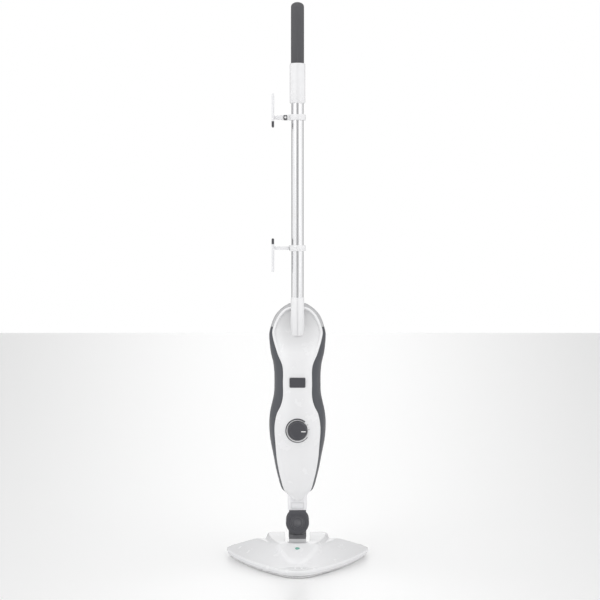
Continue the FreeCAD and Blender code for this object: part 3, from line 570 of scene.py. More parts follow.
def shield(half, front, rear, nose_r, bow, corner_r, count=240):
    """Plan outline of the head or of its raised middle: round nose, bowed sides, straight back."""
    nose = Vector((nose_r * math.sin(math.radians(45)), nose_r * (1 - math.cos(math.radians(45))) - front, 0))
    corner = Vector((half, rear, 0))
    chord = corner - nose
    outward = Vector((chord.y, -chord.x, 0)).normalized()
    side = []
    for step in range(61):
        t = step / 60
        side.append(nose + chord * t + outward * bow * 4 * t * (1 - t))
    near = max(index for index, point in enumerate(side) if (point - corner).length > corner_r * 1.75)
    start = side[near]
    aim = (side[near + 1] - side[near]).normalized()
    reach = (start - corner).length
    end = Vector((half - reach, rear, 0))
    right = [Vector((0, -front, 0))]
    right += arc_points((0, nose_r - front), nose_r, math.radians(-90), math.radians(-45), 12)[1:]
    right += side[:near]
    right += bezier(start, start + aim * reach * 0.6, end + Vector((reach * 0.6, 0, 0)), end, 16)
    right += [end, Vector((end.x / 2, rear, 0)), Vector((0, rear, 0))]
    loop = right + [Vector((-point.x, point.y, 0)) for point in reversed(right[1:-1])]
    loop.append(loop[0])
    lengths = [0.0]
    for before, after in zip(loop, loop[1:]):
        lengths.append(lengths[-1] + (after - before).length)
    even, index = [], 0
    for step in range(count):
        reach = lengths[-1] * step / count
        while lengths[index + 1] < reach:
            index += 1
        share = (reach - lengths[index]) / (lengths[index + 1] - lengths[index])
        even.append(loop[index].lerp(loop[index + 1], share))
    return even


def outline_normals(points):
    normals = []
    for index in range(len(points)):
        along = points[(index + 1) % len(points)] - points[index - 1]
        normals.append(Vector((along.y, -along.x, 0)).normalized())
    return normals


def outline_tree(points):
    tree = KDTree(len(points))
    for index, point in enumerate(points):
        tree.insert(point, index)
    tree.balance()
    return tree


def rings(name, points, profile):
    """A closed solid whose level rings follow an outline. Profile rows are inset, height and share of the
    way in to the middle, from the middle of the underside to the middle of the top."""
    normals = outline_normals(points)
    count = len(points)

    def place(u, v):
        index = round(u * count) % count
        inset, height, share = profile[round(v * (len(profile) - 1))]
        point = (points[index] - normals[index] * inset).lerp(HEAD_CENTRE, share)
        level = height(point) if callable(height) else height
        return (point.x, point.y, level)

    return surface(name, count, len(profile) - 1, place, closed=True)


# ---------------------------------------------------------------- shared effects, as shader node groups

def new_group(name, inputs, outputs):
    group = bpy.data.node_groups.new(name, "ShaderNodeTree")
    for label, kind, default in inputs:
        socket = group.interface.new_socket(name=label, in_out="INPUT", socket_type=kind)
        socket.default_value = default
    for label, kind in outputs:
        group.interface.new_socket(name=label, in_out="OUTPUT", socket_type=kind)
    return group, group.nodes.new("NodeGroupInput"), group.nodes.new("NodeGroupOutput")


def add(tree, kind, links=(), **settings):
    """A node with its settings, and its sockets linked or set by name."""
    node = tree.nodes.new(kind)
    for name, setting in settings.items():
        setattr(node, name, setting)
    for name, source in dict(links).items():
        if isinstance(source, bpy.types.NodeSocket):
            tree.links.new(source, node.inputs[name])
        else:
            node.inputs[name].default_value = source
    return node


def maths(tree, operation, first, second=0.0, clamp=False):
    return add(tree, "ShaderNodeMath", {0: first, 1: second}, operation=operation, use_clamp=clamp).outputs[0]


def noise(tree, place, scale, detail=3.0, rough=0.5):
    return add(tree, "ShaderNodeTexNoise", {"Vector": place, "Scale": scale, "Detail": detail,
                                            "Roughness": rough}).outputs["Fac"]


def stretched(tree, place, scale):
    return add(tree, "ShaderNodeMapping", {"Vector": place, "Scale": scale}).outputs["Vector"]


def spread(tree, source, low_in, high_in, low_out, high_out):
    return add(tree, "ShaderNodeMapRange", {"Value": source, "From Min": low_in, "From Max": high_in,
                                            "To Min": low_out, "To Max": high_out}).outputs["Result"]


def tinted(tree, amount, first, second, blend="MIX"):
    node = add(tree, "ShaderNodeMix", data_type="RGBA", blend_type=blend)
    for socket, source in ((node.inputs[0], amount), (node.inputs[6], first), (node.inputs[7], second)):
        if isinstance(source, bpy.types.NodeSocket):
            tree.links.new(source, socket)
        else:
            socket.default_value = source
    return node.outputs[2]


COLOUR, VALUE, VECTOR = "NodeSocketColor", "NodeSocketFloat", "NodeSocketVector"


def moulded_group():
    """Moulded plastic: faint flow mottling, orange-peel or spark-eroded grain, rubbed edges, settled dust."""
    group, given, result = new_group(
        "Moulded surface",
        [("Place", VECTOR, (0, 0, 0)), ("Colour", COLOUR, (0.8, 0.8, 0.8, 1)), ("Roughness", VALUE, 0.3),
         ("Grain size", VALUE, 900.0), ("Mottle", VALUE, 0.03), ("Edge wear", VALUE, 0.3),
         ("Dust", VALUE, 0.05)],
        [("Colour", COLOUR), ("Roughness", VALUE), ("Height", VALUE), ("Worn", VALUE)])
    place = given.outputs["Place"]
    flow = noise(group, stretched(group, place, (14, 14, 5)), 1.0, 3.0)
    grain = noise(group, place, given.outputs["Grain size"], 2.0)
    handled = noise(group, place, 38.0, 4.0, 0.6)
    shape = add(group, "ShaderNodeNewGeometry")
    crest = spread(group, shape.outputs["Pointiness"], 0.53, 0.60, 0.0, 1.0)
    worn = maths(group, "MULTIPLY", maths(group, "MULTIPLY", crest, spread(group, handled, 0.4, 0.6, 0.2, 1.0)),
                 given.outputs["Edge wear"], clamp=True)
    level = add(group, "ShaderNodeSeparateXYZ", {0: shape.outputs["Normal"]}).outputs["Z"]
    settled = maths(group, "MULTIPLY", maths(group, "MULTIPLY", spread(group, level, 0.55, 1.0, 0.0, 1.0),
                                             spread(group, handled, 0.35, 0.7, 0.0, 1.0)),
                                             given.outputs["Dust"])
    mottled = tinted(group, maths(group, "MULTIPLY", flow, given.outputs["Mottle"]), given.outputs["Colour"],
                     (0.45, 0.45, 0.46, 1))
    rubbed = tinted(group, maths(group, "MULTIPLY", worn, 0.5), mottled, (0.62, 0.62, 0.62, 1))
    dusty = tinted(group, settled, rubbed, (0.58, 0.57, 0.55, 1))
    rough = maths(group, "ADD", given.outputs["Roughness"], spread(group, handled, 0.3, 0.7, -0.03, 0.05))
    rough = maths(group, "ADD", rough, maths(group, "MULTIPLY", worn, 0.15), clamp=True)
    for label, source in (("Colour", dusty), ("Roughness", rough), ("Height", grain), ("Worn", worn)):
        group.links.new(source, result.inputs[label])
    return group


def brushed_group():
    """Drawn or brushed metal: long fine scratches along one direction, with faint stains."""
    group, given, result = new_group(
        "Brushed metal",
        [("Place", VECTOR, (0, 0, 0)), ("Colour", COLOUR, (0.6, 0.6, 0.6, 1)), ("Roughness", VALUE, 0.25),
         ("Stretch", VECTOR, (1, 1, 0.02))],
        [("Colour", COLOUR), ("Roughness", VALUE), ("Height", VALUE)])
    lines = add(group, "ShaderNodeVectorMath", {0: given.outputs["Place"], 1: given.outputs["Stretch"]},
                operation="MULTIPLY").outputs[0]
    scratches = noise(group, lines, 2600.0, 3.0, 0.65)
    streaks = noise(group, lines, 420.0, 2.0)
    stains = noise(group, given.outputs["Place"], 22.0, 4.0)
    shade = tinted(group, spread(group, streaks, 0.3, 0.7, 0.0, 0.16), given.outputs["Colour"],
                   (0.32, 0.32, 0.33, 1))
    shade = tinted(group, spread(group, stains, 0.5, 0.8, 0.0, 0.10), shade, (0.40, 0.39, 0.37, 1))
    rough = maths(group, "ADD", given.outputs["Roughness"], spread(group, scratches, 0.3, 0.7, -0.06, 0.08))
    for label, source in (("Colour", shade), ("Roughness", rough), ("Height", scratches)):
        group.links.new(source, result.inputs[label])
    return group


def pile_group():
    """Microfibre: tufts in rows, fine fibres between them, painted shade in the gaps between the tufts, and a
    little washed-in greying.
    """
    group, given, result = new_group(
        "Microfibre pile",
        [("Place", VECTOR, (0, 0, 0)), ("Colour", COLOUR, (0.9, 0.9, 0.9, 1)), ("Tuft size", VALUE, 420.0)],
        [("Colour", COLOUR), ("Roughness", VALUE), ("Height", VALUE)])
    tufts = add(group, "ShaderNodeTexVoronoi", {"Vector": given.outputs["Place"],
                                                "Scale": given.outputs["Tuft size"],
                                                "Randomness": 0.75}, feature="F1").outputs["Distance"]
    fibres = noise(group, given.outputs["Place"], 1900.0, 4.0, 0.7)
    grey = noise(group, given.outputs["Place"], 26.0, 4.0)
    height = maths(group, "SUBTRACT", maths(group, "MULTIPLY", fibres, 0.5), tufts)
    # Painted shade: the colour darkens away from each tuft's middle, into the gaps between the tufts.
    shade = tinted(group, spread(group, tufts, 0.2, 0.8, 0.0, 0.28), given.outputs["Colour"],
                   (0.50, 0.50, 0.51, 1))
    shade = tinted(group, spread(group, grey, 0.45, 0.75, 0.0, 0.10), shade, (0.60, 0.59, 0.57, 1))
    rough = spread(group, fibres, 0.3, 0.7, 0.82, 0.98)
    for label, source in (("Colour", shade), ("Roughness", rough), ("Height", height)):
        group.links.new(source, result.inputs[label])
    return group


GROUPS = {}
FINISHES = {}


def blank(name):
    """A material with its output and shader, and the object's own coordinates."""
    material = bpy.data.materials.new(name)
    material.use_nodes = True
    tree = material.node_tree
    shader = tree.nodes["Principled BSDF"]
    place = add(tree, "ShaderNodeTexCoord").outputs["Object"]
    return material, tree, shader, place


def group_node(tree, name, **links):
    node = tree.nodes.new("ShaderNodeGroup")
    node.node_tree = GROUPS[name]
    for label, source in links.items():
        socket = node.inputs[label.replace("_", " ")]
        if isinstance(source, bpy.types.NodeSocket):
            tree.links.new(source, socket)
        else:
            socket.default_value = source
    return node


def plug_in(tree, shader, group, height, strength):
    tree.links.new(group.outputs["Colour"], shader.inputs["Base Color"])
    tree.links.new(group.outputs["Roughness"], shader.inputs["Roughness"])
    bump = add(tree, "ShaderNodeBump", {"Height": group.outputs["Height"], "Strength": strength,
                                        "Distance": height})
    tree.links.new(bump.outputs["Normal"], shader.inputs["Normal"])


def moulded(name, colour, roughness, grain=900.0, grain_height=0.00002, mottle=0.03, wear=0.25, dust=0.05,
            coat=0.0, specular=0.5, strength=0.35):
    material, tree, shader, place = blank(name)
    group = group_node(tree, "moulded", Place=place, Colour=(*colour, 1), Roughness=roughness, Grain_size=grain,
                       Mottle=mottle, Edge_wear=wear, Dust=dust)
    plug_in(tree, shader, group, grain_height, strength)
    shader.inputs["Coat Weight"].default_value = coat
    shader.inputs["Coat Roughness"].default_value = 0.06
    shader.inputs["Specular IOR Level"].default_value = specular
    FINISHES[name] = material
    return material


def paint_dish_shade(material, colour):
    """Darken the dish of the front panel, by the panel's own record of its depth: painted shade in the recess
    round the tube socket.
    """
    tree = material.node_tree
    hollow = add(tree, "ShaderNodeAttribute", attribute_name="hollow").outputs["Fac"]
    dish_shaded_colour = tinted(tree, hollow, (*colour, 1), tuple(0.72 * part for part in colour) + (1,))
    group = next(node for node in tree.nodes if node.type == "GROUP")
    tree.links.new(dish_shaded_colour, group.inputs["Colour"])


def metal(name, colour, roughness, stretch=(1, 1, 0.02), height=0.000006):
    material, tree, shader, place = blank(name)
    group = group_node(tree, "brushed", Place=place, Colour=(*colour, 1), Roughness=roughness, Stretch=stretch)
    plug_in(tree, shader, group, height, 0.25)
    shader.inputs["Metallic"].default_value = 1.0
    FINISHES[name] = material
    return material


def pile(name, colour, tufts, height):
    material, tree, shader, place = blank(name)
    group = group_node(tree, "pile", Place=place, Colour=(*colour, 1), Tuft_size=tufts)
    plug_in(tree, shader, group, height, 0.7)
    shader.inputs["Sheen Weight"].default_value = 0.35
    shader.inputs["Sheen Roughness"].default_value = 0.5
    FINISHES[name] = material
    return material


def smoked(name, colour):
    """Smoked clear plastic of the tank."""
    material, tree, shader, place = blank(name)
    group = group_node(tree, "moulded", Place=place, Colour=(*colour, 1), Roughness=0.08, Grain_size=300.0,
                       Mottle=0.05, Edge_wear=0.1, Dust=0.04)
    plug_in(tree, shader, group, 0.00001, 0.2)
    shader.inputs["Transmission Weight"].default_value = 0.75
    shader.inputs["IOR"].default_value = 1.46
    FINISHES[name] = material
    return material


def board_finish(name):
    """Green solder mask with copper tracks under it."""
    material, tree, shader, place = blank(name)
    tracks = add(tree, "ShaderNodeTexBrick", {"Vector": stretched(tree, place, (1, 1, 1)), "Scale": 130.0,
                                              "Mortar Size": 0.03, "Color1": (0.012, 0.105, 0.045, 1),
                                              "Color2": (0.016, 0.13, 0.055, 1),
                                              "Mortar": (0.05, 0.26, 0.11, 1)})
    tree.links.new(tracks.outputs["Color"], shader.inputs["Base Color"])
    tree.links.new(spread(tree, noise(tree, place, 300.0), 0.3, 0.7, 0.24, 0.36), shader.inputs["Roughness"])
    bump = add(tree, "ShaderNodeBump", {"Height": tracks.outputs["Fac"], "Strength": 0.4, "Distance": 0.00006})
    tree.links.new(bump.outputs["Normal"], shader.inputs["Normal"])
    FINISHES[name] = material
    return material


def make_finishes(colours):
    GROUPS.update(moulded=moulded_group(), brushed=brushed_group(), pile=pile_group())
    shell_white, trim, arch = tuple(colours.shell), tuple(colours.trim), tuple(colours.arch)
    joint, grip, emblem = tuple(colours.joint), tuple(colours.grip), tuple(colours.emblem)
    moulded("white_gloss", shell_white, 0.24, 260.0, 0.00001, 0.02, 0.0, 0.01, coat=0.35)
    panel = moulded("panel_white", shell_white, 0.24, 260.0, 0.00001, 0.02, 0.0, 0.01, coat=0.35)
    # The panel's material darkens its dish by depth, as painted shade in the recess.
    paint_dish_shade(panel, shell_white)
    moulded("light_grey", arch, 0.36, 1200.0, 0.00002, 0.03, 0.15, 0.04)
    moulded("neck_grey", tuple(1.68 * part for part in arch), 0.33, 1200.0, 0.00002, 0.03, 0.1, 0.04)
    moulded("dark_grey", trim, 0.42, 1500.0, 0.00003, 0.05, 0.35, 0.05)
    moulded("joint_grey", joint, 0.38, 1500.0, 0.00003, 0.05, 0.4, 0.06)
    moulded("grip_grey", grip, 0.62, 1100.0, 0.00006, 0.06, 0.2, 0.05, specular=0.35, strength=0.6)
    moulded("black_plastic", (0.02, 0.02, 0.022), 0.5, 1500.0, 0.00003, 0.05, 0.2, 0.05)
    moulded("silicone", (0.68, 0.68, 0.65), 0.55, 800.0, 0.00003, 0.06, 0.1, 0.06, specular=0.35)
    moulded("teal_print", emblem, 0.30, 900.0, 0.00001, 0.02, 0.1, 0.0, coat=0.4)
    moulded("white_print", (0.85, 0.85, 0.85), 0.4, 900.0, 0.00001, 0.02, 0.0, 0.0)
    metal("tube_steel", (0.74, 0.74, 0.75), 0.20)
    metal("steel", (0.56, 0.56, 0.58), 0.30, (1, 1, 0.1))
    metal("cast_aluminium", (0.62, 0.62, 0.63), 0.45, (0.6, 0.6, 0.6), 0.00004)
    metal("copper", (0.62, 0.26, 0.13), 0.28, (0.4, 0.4, 0.4))
    pile("microfibre", (0.90, 0.90, 0.90), 420.0, 0.0009)
    pile("hook_tape", (0.66, 0.66, 0.66), 900.0, 0.0005)
    smoked("smoked_tank", (0.20, 0.215, 0.24))
    board_finish("board_green")


# ---------------------------------------------------------------- operators: one for each piece or group

class MopPiece:
    """What every builder shares."""

    bl_options = {"REGISTER", "UNDO"}

    def execute(self, context):
        self.sizes = context.scene.mop_sizes
        self.colours = context.scene.mop_colours
        self.build(context)
        return {"FINISHED"}


class MOP_OT_finishes(MopPiece, bpy.types.Operator):
    """Make the finishes and give each frame part its own"""

    bl_idname = "mop.finishes"
    bl_label = "Finishes"

    def build(self, context):
        make_finishes(self.colours)
        for part in frame["record"]["subparts"]:
            node = frame["nodes"][part["node"]]
            node.data.materials.clear()
            node.data.materials.append(FINISHES[part["material_slot"]])


CAMERA_AT = (0, -2.6, 0.652)
CAMERA_LENS = 76.08
CAMERA_SHIFT = (0.0042, -0.0885)


class MOP_OT_stage(MopPiece, bpy.types.Operator):
    """Set the floor, the studio light and the camera"""

    bl_idname = "mop.stage"
    bl_label = "Studio"

    def build(self, context):
        nothing_selected()
        bpy.ops.mesh.primitive_plane_add(size=14, location=(0, 0, 0))
        floor = settle(bpy.context.object, "studio_floor")
        material, tree, shader, place = blank("studio_floor")
        cloudy = spread(tree, noise(tree, place, 2.0), 0.3, 0.7, 0.0, 0.02)
        tree.links.new(tinted(tree, cloudy, (0.985, 0.985, 0.985, 1), (0.9, 0.9, 0.9, 1)),
                       shader.inputs["Base Color"])
        tree.links.new(spread(tree, noise(tree, place, 60.0), 0.3, 0.7, 0.30, 0.36), shader.inputs["Roughness"])
        floor.data.materials.append(material)
        world = bpy.data.worlds.new("studio")
        context.scene.world = world
        world.use_nodes = True
        self.studio_light(world.node_tree)
        for name, spot, turn, size, power in (
                ("key", (-1.6, -1.8, 1.7), (58, 0, -42), (1.2, 1.6), 4),
                ("fill", (1.7, -1.6, 1.2), (66, 0, 46), (1.0, 1.6), 2)):
            bpy.ops.object.light_add(type="AREA", location=spot,
                                     rotation=[math.radians(angle) for angle in turn])
            light = bpy.context.object
            light.name = name
            light.data.shape = "RECTANGLE"
            light.data.size, light.data.size_y = size
            light.data.energy = power
        bpy.ops.object.camera_add(location=CAMERA_AT, rotation=(math.radians(90), 0, 0))
        camera = bpy.context.object
        camera.name = "camera"
        camera.data.lens = CAMERA_LENS
        camera.data.sensor_width = 36
        camera.data.shift_x, camera.data.shift_y = CAMERA_SHIFT
        context.scene.camera = camera
        context.scene.view_settings.view_transform = "Standard"

    def studio_light(self, tree):
        """White all round, with soft grey flags in front and at the back corners that only reflections see."""
        direction = add(tree, "ShaderNodeTexCoord").outputs["Generated"]
        parts = add(tree, "ShaderNodeSeparateXYZ", {0: direction})
        bearing = maths(tree, "ABSOLUTE", maths(tree, "ARCTAN2", parts.outputs["X"],
                                                maths(tree, "MULTIPLY", parts.outputs["Y"], -1.0)))
        front = spread(tree, bearing, 0.20, 0.46, 1.0, 0.0)
        corner = maths(tree, "MULTIPLY", spread(tree, bearing, 1.75, 2.25, 0.0, 1.0),
                       spread(tree, bearing, 2.9, 3.08, 1.0, 0.0))
        shade = maths(tree, "ADD", maths(tree, "MULTIPLY", front, 0.75), maths(tree, "MULTIPLY", corner, 0.85))
        strength = maths(tree, "SUBTRACT", 1.27, shade)
        seen = add(tree, "ShaderNodeLightPath").outputs["Is Camera Ray"]
        mixed = maths(tree, "ADD", maths(tree, "MULTIPLY", seen, 1.0),
                      maths(tree, "MULTIPLY", maths(tree, "SUBTRACT", 1.0, seen), strength))
        background = tree.nodes["Background"]
        background.inputs["Color"].default_value = (1, 1, 1, 1)
        tree.links.new(mixed, background.inputs["Strength"])


# Plan outlines and levels of the head, and places clear of it for cutters, in millimetres.
HEAD = shield(155, 115, 92, 52, 15, 13)
BOSS = shield(63, 72, 80, 24, 9, 8, 160)
HEAD_CENTRE = Vector((0, 10, 0))
EDGE_TOP = 17.0
PLATE_Z = high("base_plate").z
PLATE_LOW = low("base_plate").z
PAD_TOP = high("mop_pad").z
BOSS_TOP = high("head_cover").z
POCKET_FLOOR = 26.0
POCKET_R = 26.0
POCKET_WALL = 2.4
POCKET_TOP = 46
CLEAR_ABOVE = 80
CLEAR_BEHIND = 140
HEAD_EDGE = outline_tree(HEAD)
BOSS_EDGE = outline_tree(BOSS)


def slope_z(y):
    """The sloping front of the raised middle."""
    return min(BOSS_TOP, BOSS_TOP - 26 + (y + 81) * 26 / 55)


def wing_rise(distance):
    """The hollow rise of the wings with distance in from the edge."""
    return 30.6 * min(distance / 50, 1.0) ** 1.2


def soft_min(first, second, blend):
    return (first + second - math.sqrt((first - second) ** 2 + blend * blend)) / 2


def encloses(points, point):
    crossings, before = False, points[-1]
    for after in points:
        if (after.y > point.y) != (before.y > point.y):
            if point.x < (before.x - after.x) * (point.y - after.y) / (before.y - after.y) + after.x:
                crossings = not crossings
        before = after
    return crossings


def head_top(point):
    """Height of the head's upper skin over a point of its plan."""
    flat = Vector((point.x, point.y, 0))
    edge = HEAD_EDGE.find(flat)[2]
    wing = EDGE_TOP + wing_rise(edge)
    wing = soft_min(wing, slope_z(point.y) - 4, 4)
    gap = BOSS_EDGE.find(flat)[2] * (1 if encloses(BOSS, flat) else -1)
    lift = ease((gap + 9) / 9)
    top = soft_min(slope_z(point.y), BOSS_TOP, 1.5)
    return max(wing + (max(top, wing) - wing) * lift, EDGE_TOP)


def pocket_room():
    """Cutters for the joint's round pocket and its slot to the rear."""
    return (rod("pocket_room", POCKET_R, (0, 0, POCKET_FLOOR), (0, 0, CLEAR_ABOVE), 96),
            rounded_box("slot_room", (-POCKET_R, 0, POCKET_FLOOR), (POCKET_R, CLEAR_BEHIND, CLEAR_ABOVE), 0.4,
                        1))


class MOP_OT_head_cover(MopPiece, bpy.types.Operator):
    """Mould the head's upper cover with its joint pocket"""

    bl_idname = "mop.head_cover"
    bl_label = "Head cover"

    def build(self, context):
        count = len(HEAD)
        normals = outline_normals(HEAD)
        wall_rows = ((0.5, PLATE_Z), (0.0, PLATE_Z + 0.6), (0.0, EDGE_TOP - 1.2), (0.35, EDGE_TOP - 0.4),
                     (1.1, EDGE_TOP))
        inner_rows = 62

        def place(u, v):
            index = round(u * count) % count
            row = round(v * (len(wall_rows) + inner_rows - 1))
            if row < len(wall_rows):
                inset, height = wall_rows[row]
                point = HEAD[index] - normals[index] * inset
                return (point.x, point.y, height)
            share = ((row - len(wall_rows) + 1) / inner_rows) ** 0.92
            point = (HEAD[index] - normals[index] * 1.1).lerp(HEAD_CENTRE, share)
            return (point.x, point.y, head_top(point))

        cover = surface("head_cover", count, len(wall_rows) + inner_rows - 1, place)
        shell(cover, 2.6 * MM, Vector((0, 0.01, 0.012)))
        carve(cover, *pocket_room())
        outer, under = POCKET_R + POCKET_WALL, POCKET_FLOOR - POCKET_WALL
        cup = rod("pocket_cup", outer, (0, 0, under), (0, 0, POCKET_TOP), 96)
        trough = rounded_box("pocket_trough", (-outer, 0, under), (outer, 66, POCKET_TOP), 0.2, 1)
        fuse(cup, trough)
        carve(cup, *pocket_room())
        upper = surface("cover_over", count, len(wall_rows) + inner_rows - 1,
                        lambda u, v: tuple(Vector(place(u, v)) + Vector((0, 0, -1.0))))
        edit_all(upper)
        bpy.ops.mesh.remove_doubles(threshold=WELD)
        bpy.ops.mesh.extrude_region_move(TRANSFORM_OT_translate={"value": (0, 0, 0.2)})
        edit_done()
        close_up(upper)
        carve(cup, upper)
        fuse(cover, cup)
        close_up(cover)
        soften(cover, 0.5 * MM, 2, 50)
        finish_piece(cover, "head_cover_moulding", "floor_head", ["head_cover"], "white_gloss")


class MOP_OT_base_plate(MopPiece, bpy.types.Operator):
    """Mould the plate the pad sticks to"""

    bl_idname = "mop.base_plate"
    bl_label = "Base plate"

    def build(self, context):
        low_z, top = PLATE_LOW, PLATE_Z
        profile = [(2, low_z, 1.0), (2, low_z, 0.7), (2, low_z, 0.35), (4, low_z, 0), (2.7, low_z + 0.2, 0),
                   (2.1, low_z + 0.9, 0), (2.0, low_z + 2.0, 0), (2.0, top - 1.3, 0), (2.3, top - 0.5, 0),
                   (3.0, top - 0.12, 0), (5.0, top - 0.1, 0), (5, top - 0.1, 0.35), (5, top - 0.1, 0.7),
                   (5, top - 0.1, 1.0)]
        plate = rings("base_plate", HEAD, profile)
        carve(plate, rod("plate_way", 9, (0, 20, low_z - 2), (0, 20, low_z + 2.0), 48))
        smooth(plate, 35)
        finish_piece(plate, "base_plate_moulding", "floor_head", ["base_plate"], "white_gloss")


class MOP_OT_mop_pad(MopPiece, bpy.types.Operator):
    """Sew and fill the microfibre pad"""

    bl_idname = "mop.mop_pad"
    bl_label = "Mop pad"

    def build(self, context):
        low_z, top = 0.9, PAD_TOP - 0.9
        profile = [(4, low_z, 1.0), (4, low_z, 0.6), (4, low_z, 0.3), (6.5, low_z, 0), (4.8, low_z + 0.5, 0),
                   (4.3, (low_z + top) / 2, 0), (4.8, top - 0.5, 0), (6.5, top, 0), (4, top, 0.3),
                   (4, top, 0.6),
                   (4, top, 1.0)]
        pad = rings("mop_pad", HEAD, profile)
        self.fill(context, pad)
        self.stitch(pad)
        smooth(pad, 60)
        finish_piece(pad, "microfibre_pad", "floor_head", ["mop_pad"], "microfibre")

    def fill(self, context, pad):
        apply_modifier(pad, "REMESH", mode="VOXEL", voxel_size=0.0024)
        start = [vertex.co.copy() for vertex in pad.data.vertices]
        only(pad)
        cloth = pad.modifiers.new("Cloth", "CLOTH")
        cloth.settings.use_pressure = True
        cloth.settings.uniform_pressure_force = 4.0
        cloth.settings.effector_weights.gravity = 0
        for step in range(1, 21):
            context.scene.frame_set(step)
        bpy.ops.object.modifier_apply(modifier=cloth.name)
        context.scene.frame_set(1)
        most = self.sizes.pad_swell
        for vertex, before in zip(pad.data.vertices, start):
            moved = vertex.co - before
            if moved.length > most:
                moved.length = most
            vertex.co = before + moved
            vertex.co.z = min(max(vertex.co.z, 0.0001), PAD_TOP * MM)
        apply_modifier(pad, "SUBSURF", levels=1, render_levels=1)

    def stitch(self, pad):
        """Draw the faces together along the binding's stitch line."""
        middle = PAD_TOP / 2
        for vertex in pad.data.vertices:
            point = vertex.co / MM
            gap = HEAD_EDGE.find(Vector((point.x, point.y, 0)))[2]
            pull = math.exp(-((gap - 11.5) / 1.4) ** 2) * 0.55
            vertex.co.z = (point.z + (middle - point.z) * pull) * MM


class MOP_OT_head_emblem(MopPiece, bpy.types.Operator):
    """Set the small printed drop on the head"""

    bl_idname = "mop.head_emblem"
    bl_label = "Head emblem"

    def build(self, context):
        lowest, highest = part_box("head_badge")
        middle = (lowest + highest) / 2 / MM
        tilt = math.atan2(highest.z - lowest.z, highest.y - lowest.y)
        outline = []
        for step in range(48):
            turn = 2 * math.pi * step / 48
            outline.append((4.6 * math.cos(turn), 3.0 * math.sin(turn) * (1 - 0.25 * math.cos(turn))))
        drop = slab("head_emblem", outline, 0.9, plane="top")
        carve(drop, rod("emblem_eye", 1.0, (0.9, 0.2, 0.5), (0.9, 0.2, 2.0), 24))
        drop.data.transform(Matrix.Translation(Vector((middle.x, middle.y, middle.z - 0.35)) * MM)
                            @ Matrix.Rotation(tilt, 4, "X"))
        soften(drop, 0.15 * MM, 2)
        finish_piece(drop, "head_emblem", "floor_head", ["head_badge"], "teal_print")


def skin(name, low_z, top_z, start, end, inset, rows, columns, cap=False, crown=0.0):
    """A patch of the body between two heights. Start and end are angles round the body, or calls giving
    them."""
    def angle_at(limit, height):
        return limit(height) if callable(limit) else limit

    def place(u, v):
        height, shrink = low_z + (top_z - low_z) * v, 1.0
        if cap:
            row = v * rows
            if row > rows - 6:
                height = top_z
                shrink = 1.0 - 0.14 * (row - (rows - 6))
                if row < rows - 5.5:
                    shrink, height = 0.97, top_z - 0.2
            else:
                height = low_z + (top_z - 1.2 - low_z) * row / (rows - 6)
        first, last = angle_at(start, height), angle_at(end, height)
        swell = crown * (1 - (2 * u - 1) ** 4)
        return body_point(height, first + (last - first) * u, inset - swell, shrink)

    return surface(name, columns, rows, place)


def leave_out(piece, chosen):
    """Open a skin where its faces' centres, in millimetres, are chosen: another piece covers the place."""
    if pick_faces(piece, lambda face: chosen(face.center / MM)):
        bpy.ops.mesh.delete(type="FACE")
    edit_done()


def in_socket(point):
    return math.hypot(point.x, point.y) < radius_of("upper_tube") and point.z > low("tube_socket").z + 2


def in_round(node, margin):
    """A test for places within a round fitting that faces along Y."""
    middle, radius = (low(node) + high(node)) / 2, radius_of(node) - margin
    return lambda point: math.hypot(point.x - middle.x, point.z - middle.z) < radius


def in_window(node, margin):
    """A test for places behind a key that faces along Y."""
    lowest, highest = low(node), high(node)
    return lambda point: (lowest.x + margin < point.x < highest.x - margin
                          and lowest.z + margin < point.z < highest.z - margin)


BODY_MIDDLE = Vector((0, 0.01, 0.33))
SIDE_NAMES = ((1, "right"), (-1, "left"))


class MOP_OT_front_shell(MopPiece, bpy.types.Operator):
    """Mould the white front shell with its dish"""

    bl_idname = "mop.front_shell"
    bl_label = "Front shell"

    def build(self, context):
        edge = panel_outline()
        rim, depth = self.sizes.rim_width / MM, self.sizes.dish_depth / MM
        top = high("front_shell").z + 3

        def place(u, v):
            height = BODY_LOW + (top - BODY_LOW) * v
            t = 2 * u - 1
            x = math.copysign(1 - (1 - abs(t)) ** 1.5, t) * panel_half(height)
            gap = edge.find(Vector((x, 0, height)))[2]
            return (x, dish_y(x, height, gap, rim, depth), height)

        front = surface("front_shell", 84, 190, place)
        under_dial, under_key = in_round("dial_ring", 3.2), in_window("power_button", 2.2)
        leave_out(front, lambda point: in_socket(point) or under_dial(point) or under_key(point))
        shell(front, self.sizes.shell_wall, BODY_MIDDLE)
        soften(front, self.sizes.edge * 0.8, 3, 50)
        # The dish's depth at each point, which the panel's material turns into painted shade.
        hollow = front.data.attributes.new("hollow", "FLOAT", "POINT")
        for vertex, mark in zip(front.data.vertices, hollow.data):
            point = vertex.co / MM
            mark.value = ease((point.y - front_y(point.x, point.z)) / 9 - 0.1) if point.z > 420 else 0.0
        finish_piece(front, "front_shell_moulding", "steamer", ["front_shell"], "panel_white",
                     slot="white_gloss")


